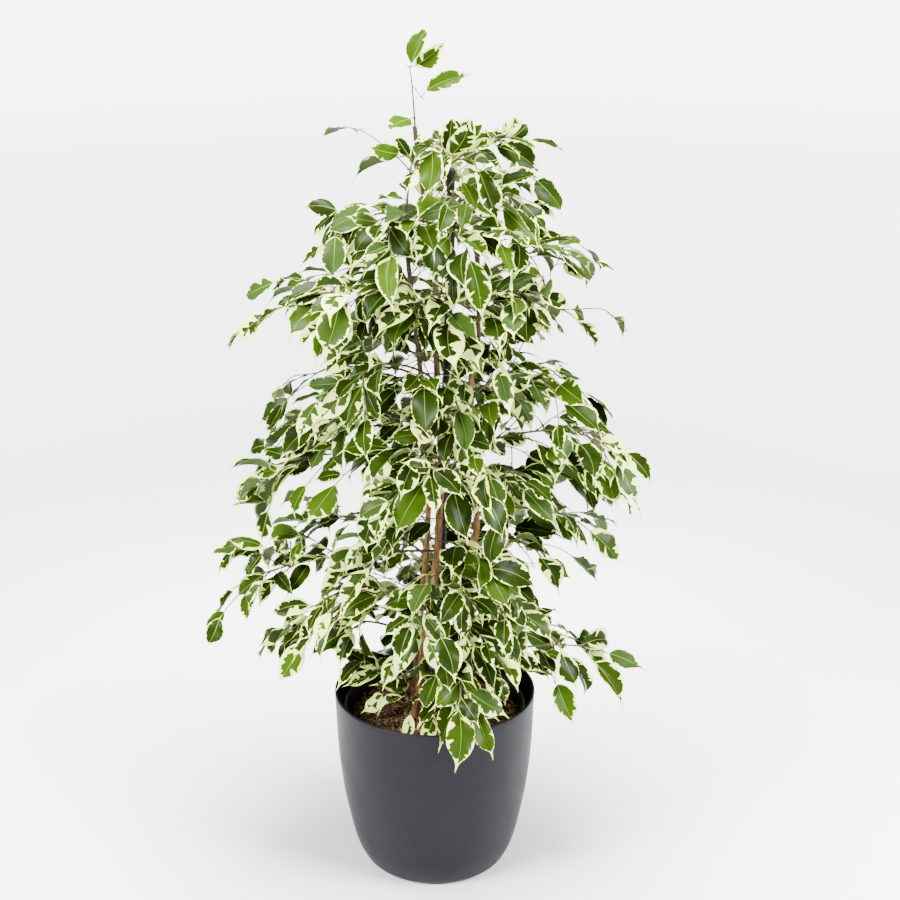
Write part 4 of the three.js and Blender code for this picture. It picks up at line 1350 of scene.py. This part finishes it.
def leafyPieces(name, shoots, node=None):
    leaves = Gathering()
    twigs = Gathering()
    total = sum(len(shoot["leaves"]) for shoot in shoots)
    cells = math.ceil(math.sqrt(total))
    cell = 0
    for i, shoot in enumerate(shoots):
        addTwig(twigs, shoot, "main" if shoot["twig"] is mainTwig else "side", i + total)
        for leaf in shoot["leaves"]:
            addLeaf(leaves, leaf, shoot, cell, cells)
            cell += 1
    skins = [materials["leafTop"], materials["leafUnder"], materials["stalk"]]
    leafPiece = leaves.build(f"{name}_leaves", skins)
    twigPiece = twigs.build(f"{name}_twigs", [materials["twig"], materials["stalk"]])
    if node:
        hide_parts(node)
        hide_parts(node)
    return total


# Turned shells: a profile of [radius, height] carried round.
def turned(profile, sides):
    onAxis = 1e-6
    angles = np.arange(sides) / sides * 2 * math.pi
    points = []
    rings = []
    faces = []
    for radius, height in profile:
        if radius < onAxis:
            rings.append([len(points)])
            points.append((0, 0, height))
        else:
            rings.append(list(range(len(points), len(points) + sides)))
            points.extend(zip(np.cos(angles) * radius, np.sin(angles) * radius, np.full(sides, height)))
    for low, high in zip(rings, rings[1:]):
        for k in range(sides):
            after = (k + 1) % sides
            corners = [low[k % len(low)], low[after % len(low)], high[after % len(high)], high[k % len(high)]]
            faces.append(tuple(dict.fromkeys(corners)))
    return np.array(points), faces


# A smooth line through points, by the cubic that passes through each of them.
def smoothLine(points, steps):
    points = [np.array(p, dtype=float) for p in points]
    line = []
    for i in range(len(points) - 1):
        before = points[max(i - 1, 0)]
        after = points[min(i + 2, len(points) - 1)]
        for k in range(steps):
            t = k / steps
            a, b = points[i], points[i + 1]
            line.append(0.5 * (2 * a + (b - before) * t + (2 * before - 5 * a + 4 * b - after) * t * t
                               + (3 * a - before - 3 * b + after) * t ** 3))
    line.append(points[-1])
    return line


def planterPiece():
    outline = planter["outline"]
    wall = planter["wall"]
    floor = planter["floor"]
    rimRadius, rimHeight = outline[-1]
    side = [tuple(p) for p in smoothLine(outline[1:], planter["sideSteps"])[1:]]
    outside = [outline[0], planter["footRing"], outline[1]] + side
    rim = []
    for i in range(1, planter["rimSteps"]):
        angle = i / planter["rimSteps"] * math.pi
        rim.append((rimRadius - wall / 2 * (1 - math.cos(angle)), rimHeight + wall / 2 * math.sin(angle)))
    inside = [(r - wall, z) for r, z in outside if z > floor + wall]
    floorRadius = outline[2][0] - 2 * wall
    base = [(0, 0), (planter["baseRing"], 0)]
    profile = base + outside + rim + inside[::-1] + [(floorRadius, floor), (0, floor)]
    points, faces = turned(profile, planter["sides"])
    gathering = Gathering()
    gathering.add(points, faces)
    piece = gathering.build("planter_shell", [materials["planter"]])
    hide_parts("planter")


def nurseryRadius(height):
    low = planter["floor"] + clearance
    share = (height - low) / (nurseryPot["rimHeight"] - low)
    return mix(nurseryPot["baseRadius"], nurseryPot["rimRadius"], share)


def nurseryPiece():
    pot = nurseryPot
    low = planter["floor"] + clearance
    underLip = pot["rimHeight"] - pot["lipDrop"]
    out = pot["rimRadius"] + pot["lipReach"]
    top = pot["rimHeight"]
    wall = pot["wall"]
    edge = pot["edge"]
    lipEdge = pot["lipEdge"]
    inner = pot["rimRadius"] - wall
    profile = [
        (0, low), (pot["baseRadius"] - edge, low), (pot["baseRadius"], low + edge),
        (nurseryRadius(underLip), underLip), (out - lipEdge, underLip), (out, underLip + lipEdge),
        (out, top - edge), (out - lipEdge, top - pot["lipTop"]), (out - edge, top),
        (inner + pot["innerEdge"], top), (inner, top - pot["innerEdge"]),
        (nurseryRadius(underLip) - wall, underLip - pot["innerDrop"]),
        (pot["baseRadius"] - wall, low + wall), (0, low + wall),
    ]
    points, faces = turned(profile, pot["sides"])
    gathering = Gathering()
    gathering.add(points, faces)
    piece = gathering.build("nursery_pot_shell", [materials["black"]])
    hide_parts("nursery_pot")


# Soil: a lumpy top in a plain plug, with crumbs, chips and fibres lying in it.
soilRadius = nurseryRadius(soil["top"] - soil["edgeDrop"]) - nurseryPot["wall"] - 2 * clearance


def soilTop(x, y):
    wide, deep, slanted = soil["bumpSizes"]
    bumps = math.sin(x / wide + soil["bumpShift"]) * math.cos(y / deep)
    bumps = soil["bumps"] * (bumps + soil["slantedBumps"] * math.sin((x + y) / slanted))
    place = Vector((x / soil["lumpSize"], y / soil["lumpSize"], soil["lumpPlace"]))
    lumps = soil["lumps"] * noise.fractal(place, *soil["lumpRoughness"])
    edge = max(0, (math.hypot(x, y) - soilRadius + soil["edgeWidth"]) / soil["edgeWidth"])
    return soil["top"] + bumps + lumps - soil["edgeDrop"] * edge ** 2


def soilPiece():
    low = planter["floor"] + clearance + nurseryPot["wall"] + clearance
    inside = nurseryRadius(low) - nurseryPot["wall"] - 2 * clearance
    rings = soil["rings"]
    profile = [(0, low), (inside, low), (soilRadius, soil["top"] - soil["edgeDrop"] - soil["cornerDrop"])]
    profile += [(soilRadius * (1 - i / rings), soil["top"]) for i in range(rings + 1)]
    points, faces = turned(profile, soil["sides"])
    for point in points:
        if point[2] >= soil["top"]:
            point[2] = soilTop(point[0], point[1])
    gathering = Gathering()
    gathering.add(points, faces, 0, {"crumbTint": (0, 0, 0)})
    piece = gathering.build("soil_bed", [materials["soil"]])
    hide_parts("soil")


# A crumb is a rough ball of two rings. A chip is flat and has [length, height, width] rings.
crumbs = {
    "count": 760, "size": (0.9, 3.2), "least": 0.5, "squash": (0.6, 1.1), "rough": (0.5, 1.35), "tilt": 3,
    "lift": 0.15, "ring": 5, "ringLevel": 0.45, "ringRadius": 0.9, "fromEdge": 4,
}
chips = {
    "count": 330, "size": (4, 13), "width": (0.14, 0.42), "flat": 0.4, "tilt": 0.8, "lift": 1, "sides": 6,
    "palest": 0.4, "rings": [(-0.5, 0, 0.3), (-0.3, 0.4, 0.5), (0.3, 0.6, 0.45), (0.5, 0, 0.25)],
}
fibres = {
    "count": 420, "length": (7, 34), "bend": 1.6, "steps": 5, "lift": 0.5, "wave": 1.3, "fromEdge": 3,
    "radius": (0.16, 0.4), "sides": 4,
}
anyTurn = 6.3


def crumbBall():
    ring = crumbs["ring"]
    radius = crumbs["ringRadius"]
    ball = [(0, 0, 1)]
    for level, turn in ((crumbs["ringLevel"], 0), (-crumbs["ringLevel"], 0.5)):
        for k in range(ring):
            angle = (k + turn) / ring * 2 * math.pi
            ball.append((math.cos(angle) * radius, math.sin(angle) * radius, level))
    ball.append((0, 0, -1))
    faces = []
    for k in range(ring):
        after = (k + 1) % ring
        upper, upperAfter, lower, lowerAfter = 1 + k, 1 + after, 1 + ring + k, 1 + ring + after
        faces += [(0, upper, upperAfter), (len(ball) - 1, lowerAfter, lower), (upper, lower, upperAfter),
                  (upperAfter, lower, lowerAfter)]
    return np.array(ball), faces


def soilSpot(draw):
    radius = (soilRadius - crumbs["fromEdge"]) * math.sqrt(draw())
    angle = draw() * 2 * math.pi
    x = radius * math.cos(angle)
    y = radius * math.sin(angle)
    return x, y, soilTop(x, y)


def turnedBy(angle, tilt, axis):
    return np.array(Matrix.Rotation(angle, 3, "Z") @ Matrix.Rotation(tilt, 3, axis))


def addCrumb(gathering, draw, ball, faces):
    x, y, z = soilSpot(draw)
    size = within(crumbs["size"], draw) * (crumbs["least"] + draw())
    shape = ball * [size * within(crumbs["squash"], draw) for _ in range(3)]
    shape = shape * np.array([within(crumbs["rough"], draw) for _ in ball])[:, None]
    shape = shape @ turnedBy(draw() * anyTurn, draw() * crumbs["tilt"], "X")
    gathering.add(shape + [x, y, z + size * crumbs["lift"]], faces, 0, {"crumbTint": (draw() ** 2, 0, 0)})


def addChip(gathering, draw):
    x, y, z = soilSpot(draw)
    long = within(chips["size"], draw)
    wide = long * within(chips["width"], draw)
    path = [(long * along, 0, height) for along, height, _ in chips["rings"]]
    points, faces, _ = tubeParts(path, [wide * width for _, _, width in chips["rings"]], chips["sides"])
    points[:, 2] *= chips["flat"]
    points = points @ turnedBy(draw() * anyTurn, either(chips["tilt"], draw), "Y").T
    tint = chips["palest"] + (1 - chips["palest"]) * draw()
    gathering.add(points + [x, y, z + chips["lift"]], faces, 0, {"crumbTint": (tint, 0, 0)})


def addFibre(gathering, draw):
    x, y, _ = soilSpot(draw)
    steps = fibres["steps"]
    long = within(fibres["length"], draw)
    angle = draw() * anyTurn
    bend = either(fibres["bend"], draw)
    path = []
    for _ in range(steps + 1):
        path.append((x, y, soilTop(x, y) + fibres["lift"] + fibres["wave"] * draw()))
        angle += bend / steps
        x += math.cos(angle) * long / steps
        y += math.sin(angle) * long / steps
        if math.hypot(x, y) > soilRadius - fibres["fromEdge"]:
            break
    if len(path) > 2:
        radius = within(fibres["radius"], draw)
        points, faces, _ = tubeParts(path, [radius] * len(path), fibres["sides"])
        gathering.add(points, faces, 1, {"crumbTint": (draw(), 0, 0)})


def crumbPiece():
    gathering = Gathering()
    draw = drawer(*choices["crumbs"])
    ball, ballFaces = crumbBall()
    for _ in range(crumbs["count"]):
        addCrumb(gathering, draw, ball, ballFaces)
    for _ in range(chips["count"]):
        addChip(gathering, draw)
    for _ in range(fibres["count"]):
        addFibre(gathering, draw)
    piece = gathering.build("soil_crumbs", [materials["soil"], materials["fibre"]])


# The stake has a ringed plastic skin, with rings of [share of the pitch, radius] and a round end of
# [rise, radius].
stakeForm = {
    "pitch": 4.2, "rings": [(0, 4.55), (0.3, 5), (0.7, 5)], "end": [(0, 4.9), (2, 4.4), (4, 3.2), (5, 1.4)],
    "steps": 4, "sides": 16,
}


def stakePiece():
    line = smoothLine([p[:3] for p in stakePoints[:-2]], stakeForm["steps"])
    bottom = line[0]
    top = stakePoints[-2]
    path = []
    radii = []
    pitch = stakeForm["pitch"]
    count = rounded((top[2] - bottom[2]) / pitch)
    heights = [point[2] for point in line]
    for i in range(count):
        for part, size in stakeForm["rings"]:
            z = bottom[2] + (i + part) * pitch
            x = float(np.interp(z, heights, [point[0] for point in line]))
            y = float(np.interp(z, heights, [point[1] for point in line]))
            if z < top[2]:
                path.append((x, y, z))
                radii.append(size)
    for rise, size in stakeForm["end"]:
        path.append((top[0], top[1], top[2] + rise))
        radii.append(size)
    points, faces, facts = tubeParts(path, radii, stakeForm["sides"])
    gathering = Gathering()
    gathering.add(points, faces, 0, {"stalkPlace": facts})
    piece = gathering.build("stake_sleeve", [materials["sleeve"]])
    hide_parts("stake")


# Each stem is a little knobbly, and swells at its old leaf scars.
stemForm = {
    "steps": 22, "sides": 16, "firstScar": 20, "scarSpacing": (22, 46), "scarHeight": 1.8, "scarSwell": 0.16,
    "knobs": 0.12, "knobWidth": 30, "knobHeight": 14, "endTaper": 0.6,
}


def stemPiece(name, number):
    plan = stemForm
    line = smoothLine(stems[name], plan["steps"])
    draw = drawer(number, *choices["stem"])
    scars = []
    height = stems[name][0][2] + plan["firstScar"]
    while height < stems[name][-1][2]:
        scars.append(height)
        height += within(plan["scarSpacing"], draw)
    path = []
    radii = []
    for x, y, z, radius in line:
        scar = sum(math.exp(-((z - level) / plan["scarHeight"]) ** 2) for level in scars)
        place = Vector((x / plan["knobWidth"], y / plan["knobWidth"], z / plan["knobHeight"]))
        knobs = plan["knobs"] * noise.noise(place)
        path.append((x, y, z))
        radii.append(radius * (1 + plan["scarSwell"] * min(scar, 1) + knobs))
    radii[-1] *= plan["endTaper"]
    points, faces, facts = tubeParts(path, radii, plan["sides"])
    gathering = Gathering()
    gathering.add(points, faces, 0, {"stalkPlace": facts})
    piece = gathering.build(f"stem_{name}_bark", [materials["stem"]])
    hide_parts(f"stem_{name}")


planterPiece()
nurseryPiece()
soilPiece()
crumbPiece()
stakePiece()
for number, name in enumerate(stems):
    stemPiece(name, number)
print("pots, soil, stake and stems are made")


# The pots, the stake and the stems take their room first, then the shoots and leaves of the solids, the
# ones that show clearly, those between them, and last the short shoots along the stems.
def claimSolid(node):
    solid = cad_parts[node]
    corners = np.array([solid.matrix_world @ v.co for v in solid.data.vertices]) / mm
    room.add(corners, [tuple(p.vertices) for p in solid.data.polygons], node.replace("stem_", ""))


def claimSpray(number, shoots):
    for shoot in shoots:
        shoot["owner"] = f"{number} {shoot['number']}"
        claimTwig(shoot, shoot["owner"])
        for leaf in shoot["leaves"]:
            claimLeaf(dress(leaf), None)


def formLeader(shoots):
    for shoot, seed in zip(shoots, leaderForm["seeds"]):
        shoot["slim"] = leaderForm["slim"]
        for leaf in shoot["leaves"]:
            leaf["form"]["cream"] = leaderForm["cream"]
            leaf["form"]["seed"] = seed
    beside = shoots[1]["leaves"][0]
    beside["tip"] = beside["tip"] + (beside["tip"] - beside["root"]) * leaderSide["longer"]
    beside["form"]["width"] = leaderSide["width"]


def addShownLeaf(shoot, spray, number, along, tip, facing, cream):
    hundredths = 100
    place = rounded(along * hundredths)
    for attempt in range(nudges["tries"]):
        offset = nudge(nudges["depth"], attempt, spray, number, place)
        leaf = dress({"root": stationAt(shoot["points"], along)[0], "tip": Vector(tip) + offset,
                      "facing": Vector(facing), "curl": moreLeafCurl, "along": along})
        leaf["form"]["cream"] = cream
        shape = testShell(leaf)
        if room.isClear(*shape, shoot["owner"]):
            room.add(*shape, None)
            shoot["leaves"].append(leaf)
            break


def addLowShoots():
    for number, (stem, *row) in enumerate(lowShoots):
        shoot = growShoot(
            lambda attempt: lowShoot(stem, *row, number, attempt), nudges["tries"], f"low {number}", stem,
            innerShoots["leaf"], (number, choices["lowLeaves"]), lambda points: True)
        if shoot:
            inner[stem].append(shoot)


def fillSpray(number, shoots):
    lengths = extraShoots["leaf"]
    main = shoots[0]
    for shoot in list(shoots):
        choice = (number, shoot["number"], choices["between"])
        growLeaves(shoot, shoot["owner"], leafPlaces(shoot, 1), solidLeaf["length"], choice)
    for k, (spray, *row) in enumerate(moreShoots):
        if spray == number:
            shoot = growShoot(
                lambda attempt: placedShoot(main, *row, k, attempt), nudges["tries"],
                f"{number} more {k}", main["owner"], lengths, (k, choices["placedLeaves"]))
            if shoot:
                shoots.append(shoot)
    spacing = extraShoots["fullSpacing" if number in extraShoots["fuller"] else "spacing"]
    count = rounded(lengthOf(main["points"]) / spacing)

    def drawn(attempt):
        draw = drawer(number, k, choices["extra"], attempt, growthSeed)
        return drawnShoot(main, k, count, draw, extraShoots, lengths, extraTwig)

    for k in range(count):
        choice = (number, k, choices["extraLeaves"])
        shoot = growShoot(
            drawn, extraShoots["tries"], f"{number} extra {k}", main["owner"], lengths, choice)
        if shoot:
            shoots.append(shoot)


def addInnerShoots():
    number = 0
    for stem, points in stems.items():
        height = innerShoots["lowest"]
        while height < points[-1][2] - innerShoots["belowTop"]:
            number += 1
            shoot = growShoot(
                lambda attempt: innerShoot(stem, height, number, attempt), innerShoots["tries"],
                f"inner {number}", stem, innerShoots["leaf"], (number, choices["innerLeaves"]))
            if shoot:
                inner[stem].append(shoot)
            height += innerShoots["topSpacing" if height > innerShoots["topFrom"] else "spacing"]


def leavesOn(sprays):
    return sum(len(shoot["leaves"]) for shoots in sprays for shoot in shoots)


for node in ("planter", "nursery_pot", "stake", "stem_front", "stem_right", "stem_back"):
    claimSolid(node)
sprays = shownSprays + [backSpray(k) for k in range(backSprays["count"])]
grown = [growSpray(spray, number) for number, spray in enumerate(sprays)]
for number, shoots in enumerate(grown):
    claimSpray(number, shoots)
print("found", sum(len(shoots) for shoots in grown), "shoots and", leavesOn(grown), "leaves of the solids")

formLeader(grown[0])
for spray, number, *row in moreLeaves:
    addShownLeaf(grown[spray][number], spray, number, *row)
inner = {stem: [] for stem in stems}
addLowShoots()
for number, shoots in enumerate(grown):
    if number not in extraShoots["bare"]:
        fillSpray(number, shoots)
print("with those between them", leavesOn(grown), "leaves")

addInnerShoots()
print("and", leavesOn(inner.values()), "on inner shoots")

total = 0
for number, shoots in enumerate(grown):
    node = f"spray_{number + 1:02d}"
    total += leafyPieces(node, shoots, node)
for stem, shoots in inner.items():
    if shoots:
        total += leafyPieces(f"inner_{stem}", shoots)
print("built", total, "leaves")


# The stage: a pale floor, soft lights, and the camera where the photograph was taken from. The lamps
# fade with distance, so the floor is painted brighter towards the back: [distance, brightness].
stage = {
    # The ramp is painted light: brighter towards the back, darker close round the pot as painted shade there,
    # and with a darker band at about 1.4 m.
    "brightness": [
        (0.01, 0.75), (0.25, 0.95), (0.74, 1.3), (1.39, 1.05), (2.32, 1.9), (3.76, 4.2), (5.83, 12),
    ],
    "brightest": 12.0, "depth": 6.0, "tint": (0.99, 0.975, 1), "lit": (0.8, 0.8, 0.8, 1),
    "size": 120, "height": -0.0002, "roughness": 0.8, "specular": 0.0,
}
lights = {
    "left": {"place": (-2.0, -1.6, 2.0), "target": (0, 0, 0.6), "size": 1.4, "power": 270},
    "right": {"place": (2.1, -1.2, 1.9), "target": (0, 0, 0.5), "size": 1.4, "power": 220},
    "top": {"place": (0.1, 0.0, 3.0), "target": (0, 0, 0.4), "size": 1.6, "power": 340},
}
view = {"place": (0.0191, -2.4, 1.5093), "pitch": 21.72, "sensor": 36, "lens": 86.27}
air = {"Color": (0.95, 0.95, 1, 1), "Strength": 0.3}


def stageFloor():
    bpy.ops.mesh.primitive_plane_add(size=stage["size"], location=(0, 0, stage["height"]))
    floor = bpy.context.object
    floor.name = "stage_floor"
    material, graph, shader = newMaterial("pale_floor", stage["roughness"], stage["specular"])
    seen = graph.add("ShaderNodeLightPath").outputs["Is Camera Ray"]
    reach = graph.add("ShaderNodeVectorMath", {0: graph.place()}, operation="LENGTH").outputs["Value"]
    ramp = graph.add("ShaderNodeValToRGB", {"Fac": graph.over(reach, stage["depth"])})
    stops = ramp.color_ramp.elements
    for i, (distance, brightness) in enumerate(stage["brightness"]):
        stop = stops[0] if i == 0 else stops.new(distance / stage["depth"])
        stop.color = [brightness / stage["brightest"] * tint for tint in stage["tint"]] + [1]
    bare = graph.scaled(ramp.outputs[0], [stage["brightest"]] * 3)
    # The camera sees the painted light and shade of the ramp; other rays see the plain floor colour.
    graph.feed(shader.inputs["Base Color"], graph.blend(seen, stage["lit"], bare))
    floor.data.materials.append(material)


def addLight(name, place, target, size, power):
    light = bpy.data.lights.new(name, "AREA")
    light.shape = "DISK"
    light.size = size
    light.energy = power
    lamp = bpy.data.objects.new(name, light)
    lamp.location = place
    lamp.rotation_euler = (Vector(target) - Vector(place)).to_track_quat("-Z", "Y").to_euler()
    bpy.context.scene.collection.objects.link(lamp)


def addCamera():
    camera = bpy.data.objects.new("camera", bpy.data.cameras.new("camera"))
    camera.location = view["place"]
    camera.rotation_euler = (math.radians(90 - view["pitch"]), 0, 0)
    camera.data.sensor_width = view["sensor"]
    camera.data.lens = view["lens"]
    bpy.context.scene.collection.objects.link(camera)
    bpy.context.scene.camera = camera


def addAir():
    world = bpy.data.worlds.new("studio")
    bpy.context.scene.world = world
    world.use_nodes = True
    for name, value in air.items():
        world.node_tree.nodes["Background"].inputs[name].default_value = value


stageFloor()
for name, light in lights.items():
    addLight(name, **light)
addCamera()
addAir()
print("the stage is set")
